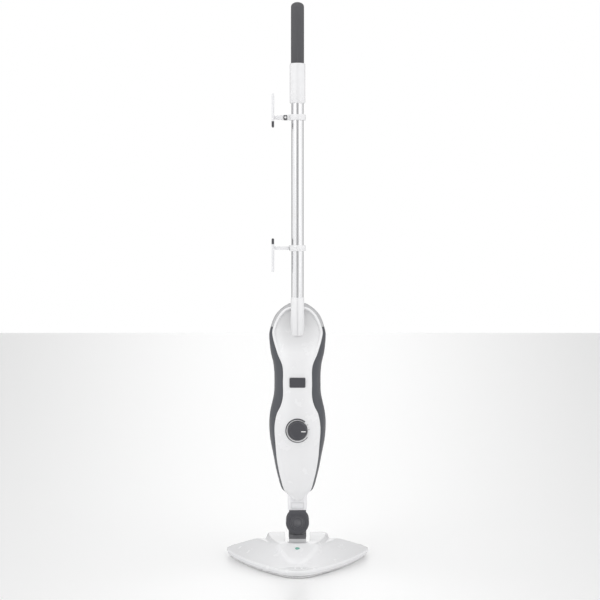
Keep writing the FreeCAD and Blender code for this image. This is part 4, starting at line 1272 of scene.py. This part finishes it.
class MOP_OT_trims(MopPiece, bpy.types.Operator):
    """Mould the charcoal side trims and the grey arch"""

    bl_idname = "mop.trims"
    bl_label = "Side trims and arch"

    def build(self, context):
        gap = self.sizes.seam / MM
        for sign, side in SIDE_NAMES:
            for part, low_z, top_z, rows, cap in (
                    ("side_trim", low("side_trim_left").z, ARCH_Z - gap / 2, 130, False),
                    ("top_trim", ARCH_Z + gap / 2, BODY_TOP, 40, True)):
                def inner(height):
                    return panel_angle(height, 0.6) - gap / max(half_width(height), 10)

                trim = skin(part, low_z, top_z, inner, 0.0, 0.6, rows, 22, cap, crown=0.35)
                if sign < 0:
                    trim.data.transform(Matrix.Scale(-1, 4, Vector((1, 0, 0))))
                leave_out(trim, in_socket)
                shell(trim, self.sizes.shell_wall, BODY_MIDDLE)
                soften(trim, self.sizes.edge, 3, 50)
                finish = "dark_grey" if part == "side_trim" else "light_grey"
                finish_piece(trim, f"{part}_{side}_moulding", "steamer", [f"{part}_{side}"], finish)


class MOP_OT_rear_shells(MopPiece, bpy.types.Operator):
    """Mould the rear shells above and below the tank"""

    bl_idname = "mop.rear_shells"
    bl_label = "Rear shells"

    def build(self, context):
        gap = self.sizes.seam / MM
        for node, rows, cap in (("rear_upper_shell", 60, True), ("rear_lower_shell", 20, False)):
            low_z, top_z = low(node).z, BODY_TOP if cap else high(node).z
            rear = skin(node, low_z, top_z, math.pi + 0.004, 2 * math.pi - 0.004, 0.0, rows, 64, cap)
            for vertex in rear.data.vertices:
                vertex.co.y = max(vertex.co.y, (SPLIT_Y + gap / 2) * MM)
            under_gland, under_key = in_round("cord_gland", 1.6), in_window("tube_release_button", 1.4)
            leave_out(rear, lambda point: in_socket(point) or under_gland(point) or under_key(point))
            shell(rear, self.sizes.shell_wall, BODY_MIDDLE)
            soften(rear, self.sizes.edge, 3, 50)
            finish_piece(rear, f"{node}_moulding", "steamer", [node], "dark_grey")


class MOP_OT_water_tank(MopPiece, bpy.types.Operator):
    """Blow the smoked water tank"""

    bl_idname = "mop.water_tank"
    bl_label = "Water tank"

    def build(self, context):
        lowest, highest = low("water_tank"), high("water_tank")
        around, rows = 96, 70
        front = lowest.y

        def place(u, v):
            row = round(v * (rows + 8))
            shrink = 1.0
            if row < 4:
                height, shrink = lowest.z, (0.0, 0.5, 0.9, 0.97)[row]
            elif row > rows + 4:
                height, shrink = highest.z, (0.97, 0.9, 0.5, 0.0)[row - rows - 5]
            else:
                height = lowest.z + 1.0 + (highest.z - lowest.z - 2.0) * (row - 4) / rows
            middle = Vector((0, front + 14, height))
            turn = u * around
            if turn <= 72:
                point = body_point(height, math.pi + math.pi * turn / 72, 0.4)
                point.y = max(point.y + (front - SPLIT_Y) * 0.5, front)
            else:
                share = (turn - 72) / 24
                right = body_point(height, 0.0, 0.4)
                point = Vector((right.x * (1 - 2 * share), front, height))
            point.z = height
            return middle.lerp(point, shrink)

        tank = surface("water_tank", around, rows + 8, place, closed=True)
        under_cap = in_round("tank_cap", 3.0)
        leave_out(tank, lambda point: point.y > CAP.y - 20 and under_cap(point))
        apply_modifier(tank, "SOLIDIFY", thickness=2.2 * MM, offset=-1.0, use_even_offset=False)
        soften(tank, self.sizes.edge, 3, 50)
        finish_piece(tank, "water_tank_moulding", "tank", ["water_tank"], "smoked_tank")


class MOP_OT_steam_control(MopPiece, bpy.types.Operator):
    """Turn the steam dial, its scale, its knob and its pointer"""

    bl_idname = "mop.steam_control"
    bl_label = "Steam dial and knob"

    def build(self, context):
        front, rear = low("dial_ring").y, high("dial_ring").y
        centre = (0, rear, KNOB_Z)
        deep = rear - front
        knob_r = radius_of("steam_knob")
        ring = lathe("dial_ring", [
            (3.4, 0), (DIAL_R - 1.4, 0), (DIAL_R - 1.4, deep - 2.2), (DIAL_R - 0.2, deep - 2.0),
            (DIAL_R, deep - 1.5), (DIAL_R, deep - 0.5), (DIAL_R - 0.4, deep - 0.1), (DIAL_R - 0.9, deep),
            (knob_r + 1.3, deep), (knob_r + 1.0, deep - 0.3), (knob_r + 0.9, 2.0), (3.4, 2.0), (3.4, 0)],
            centre, "y", 96)
        turn_forward(ring, centre)
        smooth(ring, 32)
        finish_piece(ring, "dial_surround", "steamer", ["dial_ring"], "white_gloss", slot="dark_grey")
        self.scale(front)
        self.knob(knob_r)

    def scale(self, front):
        """A printed crescent that grows round the dial, and two marks where it ends."""
        def band(u, v):
            turn = math.radians(48 + 280 * u)
            thick = (3.1 - 1.9 * u) * min(1.0, 0.25 + (u * 50) ** 0.5)
            radius = DIAL_R + 0.05 - (3.1 - 1.9 * u - thick) / 2 - thick * v
            return (radius * math.cos(turn), front - 0.12, KNOB_Z + radius * math.sin(turn))

        crescent = surface("dial_scale", 120, 4, band)
        face_out(crescent, Vector((0, 0, KNOB_Z * MM)))
        apply_modifier(crescent, "SOLIDIFY", thickness=0.3 * MM, offset=-1.0)
        marks = [crescent]
        for angle in (30, 5):
            mark = rounded_box("mark", (DIAL_R - 3.2, front - 0.15, KNOB_Z - 0.4),
                               (DIAL_R - 0.1, front + 0.2, KNOB_Z + 0.4), 0.1, 1)
            mark.data.transform(Matrix.Translation(Vector((0, 0, KNOB_Z)) * MM)
                                @ Matrix.Rotation(-math.radians(angle), 4, "Y")
                                @ Matrix.Translation(-Vector((0, 0, KNOB_Z)) * MM))
            marks.append(mark)
        scale = join("dial_scale", *marks)
        finish_piece(scale, "dial_scale_print", "steamer", [], "joint_grey", slot="dark_grey")

    def knob(self, knob_r):
        face, back = low("steam_knob").y, high("steam_knob").y
        disc_back = face + 12
        shaft = 3.0
        profile = [(0, 0), (shaft, 0), (shaft, back - disc_back), (knob_r - 0.3, back - disc_back),
                   (knob_r, back - disc_back + 0.4), (knob_r, back - face - 2.2),
                   (knob_r - 0.5, back - face - 1.2),
                   (knob_r - 1.4, back - face - 0.4), (knob_r - 2.6, back - face), (knob_r - 4.4, back - face),
                   (knob_r - 5.2, back - face - 0.5), (knob_r - 9, back - face - 0.7), (0, back - face - 0.8)]
        knob = lathe("steam_knob", profile, (0, back, KNOB_Z), "y", 120)
        turn_forward(knob, (0, back, KNOB_Z))
        centre = Vector((0, 0, KNOB_Z))
        for vertex in knob.data.vertices:
            point = vertex.co / MM - centre
            radius = math.hypot(point.x, point.z)
            if radius > knob_r - 0.6 and point.y < disc_back - 1.0:
                turn = math.atan2(point.z, point.x)
                share = 1 - 0.018 * (0.5 + 0.5 * math.cos(40 * turn))
                vertex.co.x = point.x * share * MM
                vertex.co.z = (KNOB_Z + point.z * share) * MM
        smooth(knob, 32)
        finish_piece(knob, "steam_knob_moulding", "knob", ["steam_knob"], "joint_grey", slot="dark_grey")
        lowest, highest = low("knob_pointer"), high("knob_pointer")
        pointer = rounded_box("pointer", lowest, Vector((highest.x, highest.y + 1.4, highest.z)), 0.28, 3)
        finish_piece(pointer, "pointer_line", "knob", ["knob_pointer"], "white_print", slot="white_gloss")


class MOP_OT_power_button(MopPiece, bpy.types.Operator):
    """Mould the power key with its raised border"""

    bl_idname = "mop.power_button"
    bl_label = "Power button"

    def build(self, context):
        deep = BUTTON_LOW.y + 7
        wide, tall = BUTTON_HIGH.x, (BUTTON_HIGH.z - BUTTON_LOW.z) / 2
        middle = (BUTTON_HIGH.z + BUTTON_LOW.z) / 2
        outline = []
        for corner_x, corner_z, start in ((1, 1, 0), (-1, 1, 90), (-1, -1, 180), (1, -1, 270)):
            for step in range(9):
                turn = math.radians(start + 90 * step / 8)
                outline.append((corner_x * (wide - 2.8) + 2.8 * math.cos(turn),
                                corner_z * (tall - 2.8) + 2.8 * math.sin(turn)))
        key = slab("power_button", outline, 7, at=(0, BUTTON_LOW.y, middle))
        pick_faces(key, lambda face: face.center.y < (BUTTON_LOW.y + 0.1) * MM)
        bpy.ops.mesh.inset(thickness=1.3 * MM, depth=0)
        bpy.ops.mesh.inset(thickness=0.3 * MM, depth=-0.35 * MM)
        bpy.ops.mesh.inset(thickness=0.6 * MM, depth=0.1 * MM)
        edit_done()
        stem = rod("button_stem", 4, (0, deep - 0.2, middle), (0, BUTTON_HIGH.y, middle), 40)
        close_up(key)
        smooth(key, 25)
        both = join("power_button", key, stem)
        finish_piece(both, "power_key_moulding", "power_key", ["power_button"], "joint_grey", slot="dark_grey")


class MOP_OT_swivel_joint(MopPiece, bpy.types.Operator):
    """Round over the joint's housings and turn its ringed caps"""

    bl_idname = "mop.swivel_joint"
    bl_label = "Swivel joint"

    def build(self, context):
        for node, finish, bevel in (("swivel_housing", "joint_grey", 0.5),
                                    ("swivel_knuckle", "joint_grey", 0.5),
                                    ("tilt_drum", "light_grey", 0.4)):
            body = "steamer" if node == "swivel_housing" else "knuckle"
            finish_piece(frame_copy(node, node, bevel), f"{node}_moulding", body, [node], finish,
                         slot="light_grey" if node == "tilt_drum" else "dark_grey")
        for node, flip in (("swivel_cap_front", -1), ("swivel_cap_rear", 1)):
            lowest, highest = low(node), high(node)
            radius, deep = radius_of(node), highest.y - lowest.y
            profile = [(0, 0), (radius - 0.1, 0), (radius, 0.2), (radius, deep - 0.5),
                       (radius - 0.2, deep - 0.15),
                       (radius - 0.6, deep)]
            for ring_r in (radius - 2.2, radius - 5.2):
                profile += [(ring_r, deep), (ring_r - 0.15, deep - 0.45), (ring_r - 0.75, deep - 0.45),
                            (ring_r - 0.9, deep)]
            profile.append((0, deep))
            cap = lathe(node, profile, (0, 0, 0), "y", 72)
            cap.data.transform(Matrix.Translation(Vector((0, (lowest.y if flip > 0 else highest.y),
                                                          SWIVEL_Z)) * MM)
                               @ Matrix.Scale(flip, 4, Vector((0, 1, 0))))
            close_up(cap)
            smooth(cap, 32)
            finish_piece(cap, f"{node}_moulding", "steamer", [node], "joint_grey", slot="dark_grey")


class MOP_OT_neck(MopPiece, bpy.types.Operator):
    """Round over the neck and rib its release key"""

    bl_idname = "mop.neck"
    bl_label = "Neck"

    def build(self, context):
        finish_piece(frame_copy("neck_tube", "neck_tube", 0.4), "neck_moulding", "steamer", ["neck_tube"],
                     "neck_grey", slot="white_gloss")
        lowest, highest = low("neck_release_button"), high("neck_release_button")
        pieces = [rounded_box("key", (lowest.x, lowest.y + 0.5, lowest.z), highest, 0.8, 3)]
        for step in range(5):
            level = lowest.z + 1.8 + step * 1.85
            pieces.append(rounded_box("rib", (lowest.x + 2, lowest.y, level - 0.35),
                                      (highest.x - 2, lowest.y + 1.2, level + 0.35), 0.2, 2))
        finish_piece(join("neck_key", *pieces), "neck_key_moulding", "neck_key", ["neck_release_button"],
                     "neck_grey", slot="light_grey")


class MOP_OT_tube_and_socket(MopPiece, bpy.types.Operator):
    """Draw the steel tube and mould its two-part socket"""

    bl_idname = "mop.tube_and_socket"
    bl_label = "Tube and socket"

    def build(self, context):
        lowest, highest = low("upper_tube"), high("upper_tube")
        radius, tall = highest.x, highest.z - lowest.z
        tube = lathe("upper_tube", [
            (radius - 1.0, 0.2), (radius - 0.8, 0), (radius - 0.2, 0), (radius, 0.2), (radius, tall - 0.2),
            (radius - 0.2, tall), (radius - 0.8, tall), (radius - 1.0, tall - 0.2), (radius - 1.0, 0.2)],
            (0, 0, lowest.z), steps=96)
        carve(tube, rod("pin_way", 3.6, (0, 2, RELEASE_Z), (0, 30, RELEASE_Z), 32),
              rod("key_way", 4.2, (0, 2, KEY_Z), (0, 30, KEY_Z), 32))
        smooth(tube, 32)
        finish_piece(tube, "upper_tube_drawn", "steamer", ["upper_tube"], "tube_steel")
        lowest, highest = low("tube_socket"), high("tube_socket")
        wide, tall = highest.x, highest.z - lowest.z
        narrow = radius + 1.1
        socket = lathe("tube_socket", [
            (radius + 0.05, 18), (0, 18), (0, 0), (wide - 1.2, 0), (wide - 0.4, 0.3), (wide, 1.2),
            (narrow, tall - 0.7), (narrow - 0.2, tall - 0.2), (narrow - 0.6, tall), (radius + 0.3, tall),
            (radius + 0.05, tall - 0.3), (radius + 0.05, 18)], (0, 0, lowest.z), steps=96)
        carve(socket, rounded_box("socket_seam", (-0.3, -30, lowest.z - 5),
                                  (0.3, -narrow + 0.35, highest.z + 5),
                                  0.05, 1),
              rod("pin_way", 3.6, (0, 2, RELEASE_Z), (0, 30, RELEASE_Z), 32))
        smooth(socket, 32)
        finish_piece(socket, "tube_socket_moulding", "steamer", ["tube_socket"], "white_gloss")
        finish_piece(frame_copy("tube_release_button", "tube_release", 0.5), "tube_release_moulding",
                     "socket_key", ["tube_release_button"], "light_grey")


class MOP_OT_handle(MopPiece, bpy.types.Operator):
    """Mould the split collar and the hand loop"""

    bl_idname = "mop.handle"
    bl_label = "Collar and hand loop"

    def build(self, context):
        self.collar()
        self.loop()

    def collar(self):
        radius = high("collar_right").x
        tube_r = high("upper_tube").x
        tall = COLLAR_TOP - COLLAR_LOW
        collar = lathe("collar", [
            (tube_r + 0.05, 0.5), (tube_r + 0.5, 0), (radius - 2.4, 0), (radius - 1.2, 0.6),
            (radius - 0.4, 1.8),
            (radius, 3.6), (radius, tall - 0.8), (radius - 0.3, tall - 0.2), (radius - 0.9, tall), (0, tall),
            (0, tall - 3), (tube_r - 2, tall - 3), (tube_r - 2, 60), (tube_r + 0.05, 60), (tube_r + 0.05, 0.5)],
            (0, 0, COLLAR_LOW), steps=96)
        carve(collar, rod("key_way", 4.4, (0, 2, KEY_Z), (0, 30, KEY_Z), 40))
        smooth(collar, 32)
        for sign, side in SIDE_NAMES:
            half = half_of(collar, sign, f"collar_{side}")
            soften(half, 0.22 * MM, 2, 60)
            finish_piece(half, f"collar_{side}_moulding", "steamer", [f"collar_{side}"], "white_gloss")
        bpy.data.objects.remove(collar)
        lowest, highest = low("collar_release_button"), high("collar_release_button")
        deep = highest.y - lowest.y
        key = lathe("collar_key", [(0, 0), (3.6, 0), (4, 0.4), (4, deep - 1.0), (3.6, deep - 0.3), (2.8, deep),
                                   (1.4, deep - 0.35), (0, deep - 0.45)], (0, 0, 0), "y", 48)
        key.data.transform(Matrix.Translation(Vector((0, lowest.y, KEY_Z)) * MM))
        finish_piece(key, "collar_key_moulding", "collar_key", ["collar_release_button"], "light_grey")

    def loop(self):
        wide = high("grip_right").x
        lowest, highest = low("grip_right"), high("grip_right")
        thick = -lowest.y
        near, far = lowest.y + thick, highest.y - thick
        low_z, high_z = lowest.z + thick, highest.z - thick
        bend = 26.0
        corners = ((far - bend, high_z - bend, 0), (near + bend, high_z - bend, 90),
                   (near + bend, low_z + bend, 180), (far - bend, low_z + bend, 270))
        path = []
        for y, z, start in corners:
            for step in range(25):
                turn = math.radians(start + 90 * step / 24)
                path.append((y + bend * math.cos(turn), z + bend * math.sin(turn), turn))
            if start in (90, 270):
                direction = 1 if start == 270 else -1
                begin = path[-1]
                for step in range(1, 12):
                    path.append((begin[0], begin[1] + direction * step * (high_z - low_z - 2 * bend) / 12,
                                 begin[2]))

        def place(u, v):
            y, z, turn = path[round(u * len(path)) % len(path)]
            around = 2 * math.pi * v
            out = thick * math.cos(around)
            return (wide * math.sin(around), y + out * math.cos(turn), z + out * math.sin(turn))

        ring = surface("hand_loop", len(path), 40, place, closed=True)
        stub = rod("stub", 1, (0, near, lowest.z + 0.02), (0, near, low_z + bend), 64)
        stub.data.transform(Matrix.Diagonal((wide - 0.05, thick - 0.05, 1, 1)))
        fuse(ring, stub)
        close_up(ring)
        for sign, side in SIDE_NAMES:
            half = half_of(ring, sign, f"grip_{side}")
            soften(half, 0.25 * MM, 2, 60)
            finish_piece(half, f"grip_{side}_moulding", "steamer", [f"grip_{side}"], "grip_grey")
        bpy.data.objects.remove(ring)


class MOP_OT_cord_hooks(MopPiece, bpy.types.Operator):
    """Mould the cord hooks, their rings and the pivot"""

    bl_idname = "mop.cord_hooks"
    bl_label = "Cord hooks"

    def build(self, context):
        tube_r = high("upper_tube").x
        for node in ("upper_clip_ring", "lower_clip_ring"):
            lowest, highest = low(node), high(node)
            radius, tall = highest.x, highest.z - lowest.z
            ring = lathe(node, [
                (tube_r, 0.3), (tube_r + 0.4, 0), (radius - 0.8, 0), (radius - 0.2, 0.3), (radius, 1.0),
                (radius, tall - 1.0), (radius - 0.2, tall - 0.3), (radius - 0.8, tall), (tube_r + 0.4, tall),
                (tube_r, tall - 0.3), (tube_r, 0.3)], (0, 0, lowest.z), steps=80)
            pieces = [ring]
            if lowest.x < -radius - 1:
                pieces.append(rounded_box("lug", (lowest.x, -5, lowest.z + 0.5),
                                          (-radius + 0.6, 5, highest.z - 0.5),
                                          0.8, 3))
            finish_piece(join(node, *pieces), f"{node}_moulding", "steamer", [node], "white_gloss")
        lowest, highest = low("hook_pivot"), high("hook_pivot")
        middle = (lowest.z + highest.z) / 2
        barrel = lathe("barrel", [(0, 0), (4.9, 0), (5.5, 0.6), (5.5, 6.9), (4.9, 7.5), (0, 7.5)],
                       (lowest.x, 0, middle), "x", 48)
        screw = lathe("screw", [(0, 0), (2.2, 0), (2.2, 1.6), (1.7, 2.0), (0.5, 2.0), (0.4, 1.6), (0, 1.6)],
                      (0, 0, 0), "y", 32)
        screw.data.transform(Matrix.Translation(Vector((lowest.x + 3.8, -4.3, middle)) * MM)
                             @ Matrix.Scale(-1, 4, Vector((0, 1, 0))))
        close_up(screw)
        both = join("hook_pivot", barrel, screw)
        finish_piece(both, "hook_pivot_moulding", "steamer", ["hook_pivot"], "joint_grey", "white_print",
                     slot="dark_grey")
        paint(both, 1, lambda point: point.y < -5.6)
        self.hook("upper_hook", "cord_hook", UPPER_HOOK_Z, 5.0, False)
        self.hook("lower_hook", "steamer", LOWER_HOOK_Z, 3.5, True)

    def hook(self, node, body, level, root, long_down):
        """A tapered arm with an upright paddle, its short end dark."""
        lowest, highest = low(node), high(node)
        paddle_thick = 5.0
        inner = lowest.x + paddle_thick
        arm = slab("arm", [(inner - 1, -3.2), (highest.x, -root), (highest.x, root), (inner - 1, 3.2)], 7,
                   at=(0, -3.5, level))
        soften(arm, 0.9 * MM, 3)
        paddle = rounded_box("paddle", lowest, (inner, highest.y, highest.z), 2.2, 5)
        edit_all(paddle)
        cut_z = level + 8 if long_down else level - 8
        bpy.ops.mesh.bisect(plane_co=(0, 0, cut_z * MM), plane_no=(0, 0, 1))
        edit_done()
        both = join(node, paddle, arm)
        finish_piece(both, f"{node}_moulding", body, [node], "neck_grey", "joint_grey", slot="light_grey")
        if long_down:
            paint(both, 1, lambda point: point.z > cut_z or (point.x > -24 and abs(point.z - level) < 5))
        else:
            paint(both, 1, lambda point: point.z < cut_z)


class MOP_OT_rear_fittings(MopPiece, bpy.types.Operator):
    """Mould the bulkhead, the tank's cap and the cord gland"""

    bl_idname = "mop.rear_fittings"
    bl_label = "Rear fittings"

    def build(self, context):
        finish_piece(frame_copy("bulkhead", "bulkhead", 0.3), "bulkhead_moulding", "steamer", ["bulkhead"],
                     "dark_grey")
        lowest, highest = low("tank_cap"), high("tank_cap")
        deep = highest.y - lowest.y
        cap = lathe("tank_cap", [
            (0, 0), (8.2, 0), (8.6, 0.4), (8.6, deep - 6.5), (CAP_R - 0.4, deep - 6.5), (CAP_R, deep - 6.1),
            (CAP_R, deep - 1.2), (CAP_R - 0.4, deep - 0.4), (CAP_R - 1.2, deep), (CAP_R - 4, deep),
            (CAP_R - 4.6, deep - 0.8), (0, deep - 1.0)], (0, 0, 0), "y", 96)
        for vertex in cap.data.vertices:
            radius = math.hypot(vertex.co.x, vertex.co.z) / MM
            if radius > CAP_R - 0.3:
                share = 1 - 0.03 * (0.5 + 0.5 * math.cos(32 * math.atan2(vertex.co.z, vertex.co.x)))
                vertex.co.x *= share
                vertex.co.z *= share
        cap.data.transform(Matrix.Translation(Vector((0, lowest.y, CAP.z)) * MM))
        wing = rounded_box("cap_wing", (-8.6, highest.y - 2.0, CAP.z - 1.5), (8.6, highest.y, CAP.z + 1.5),
                           0.7, 3)
        finish_piece(join("tank_cap", cap, wing), "tank_cap_moulding", "cap", ["tank_cap"], "light_grey")
        finish_piece(frame_copy("cord_gland", "cord_gland", 0.4), "cord_gland_moulding", "steamer",
                     ["cord_gland"], "black_plastic")


BUILDERS = (MOP_OT_finishes, MOP_OT_stage, MOP_OT_head_cover, MOP_OT_base_plate, MOP_OT_mop_pad,
            MOP_OT_head_emblem,
            MOP_OT_swivel_joint, MOP_OT_neck, MOP_OT_front_shell, MOP_OT_trims, MOP_OT_rear_shells,
            MOP_OT_water_tank, MOP_OT_rear_fittings, MOP_OT_steam_control, MOP_OT_power_button,
            MOP_OT_tube_and_socket, MOP_OT_handle, MOP_OT_cord_hooks)


class MOP_PT_builder(bpy.types.Panel):
    """The builder's panel in the 3D view's sidebar."""

    bl_idname = "MOP_PT_builder"
    bl_label = "Steam mop"
    bl_space_type = "VIEW_3D"
    bl_region_type = "UI"
    bl_category = "Steam Mop"

    def draw(self, context):
        for settings in (context.scene.mop_sizes, context.scene.mop_colours):
            box = self.layout.box()
            for name in settings.__annotations__:
                box.prop(settings, name)
        for builder in BUILDERS:
            self.layout.operator(builder.bl_idname)


def register():
    for kind in (MopSizes, MopColours, *BUILDERS, MOP_PT_builder):
        bpy.utils.register_class(kind)
    bpy.types.Scene.mop_sizes = PointerProperty(type=MopSizes)
    bpy.types.Scene.mop_colours = PointerProperty(type=MopColours)


def unregister():
    del bpy.types.Scene.mop_colours
    del bpy.types.Scene.mop_sizes
    for kind in (MOP_PT_builder, *reversed(BUILDERS), MopColours, MopSizes):
        bpy.utils.unregister_class(kind)


def main():
    register()
    for builder in BUILDERS:
        group, name = builder.bl_idname.split(".")
        getattr(getattr(bpy.ops, group), name)()
    nothing_selected()


if __name__ == "__main__":
    main()
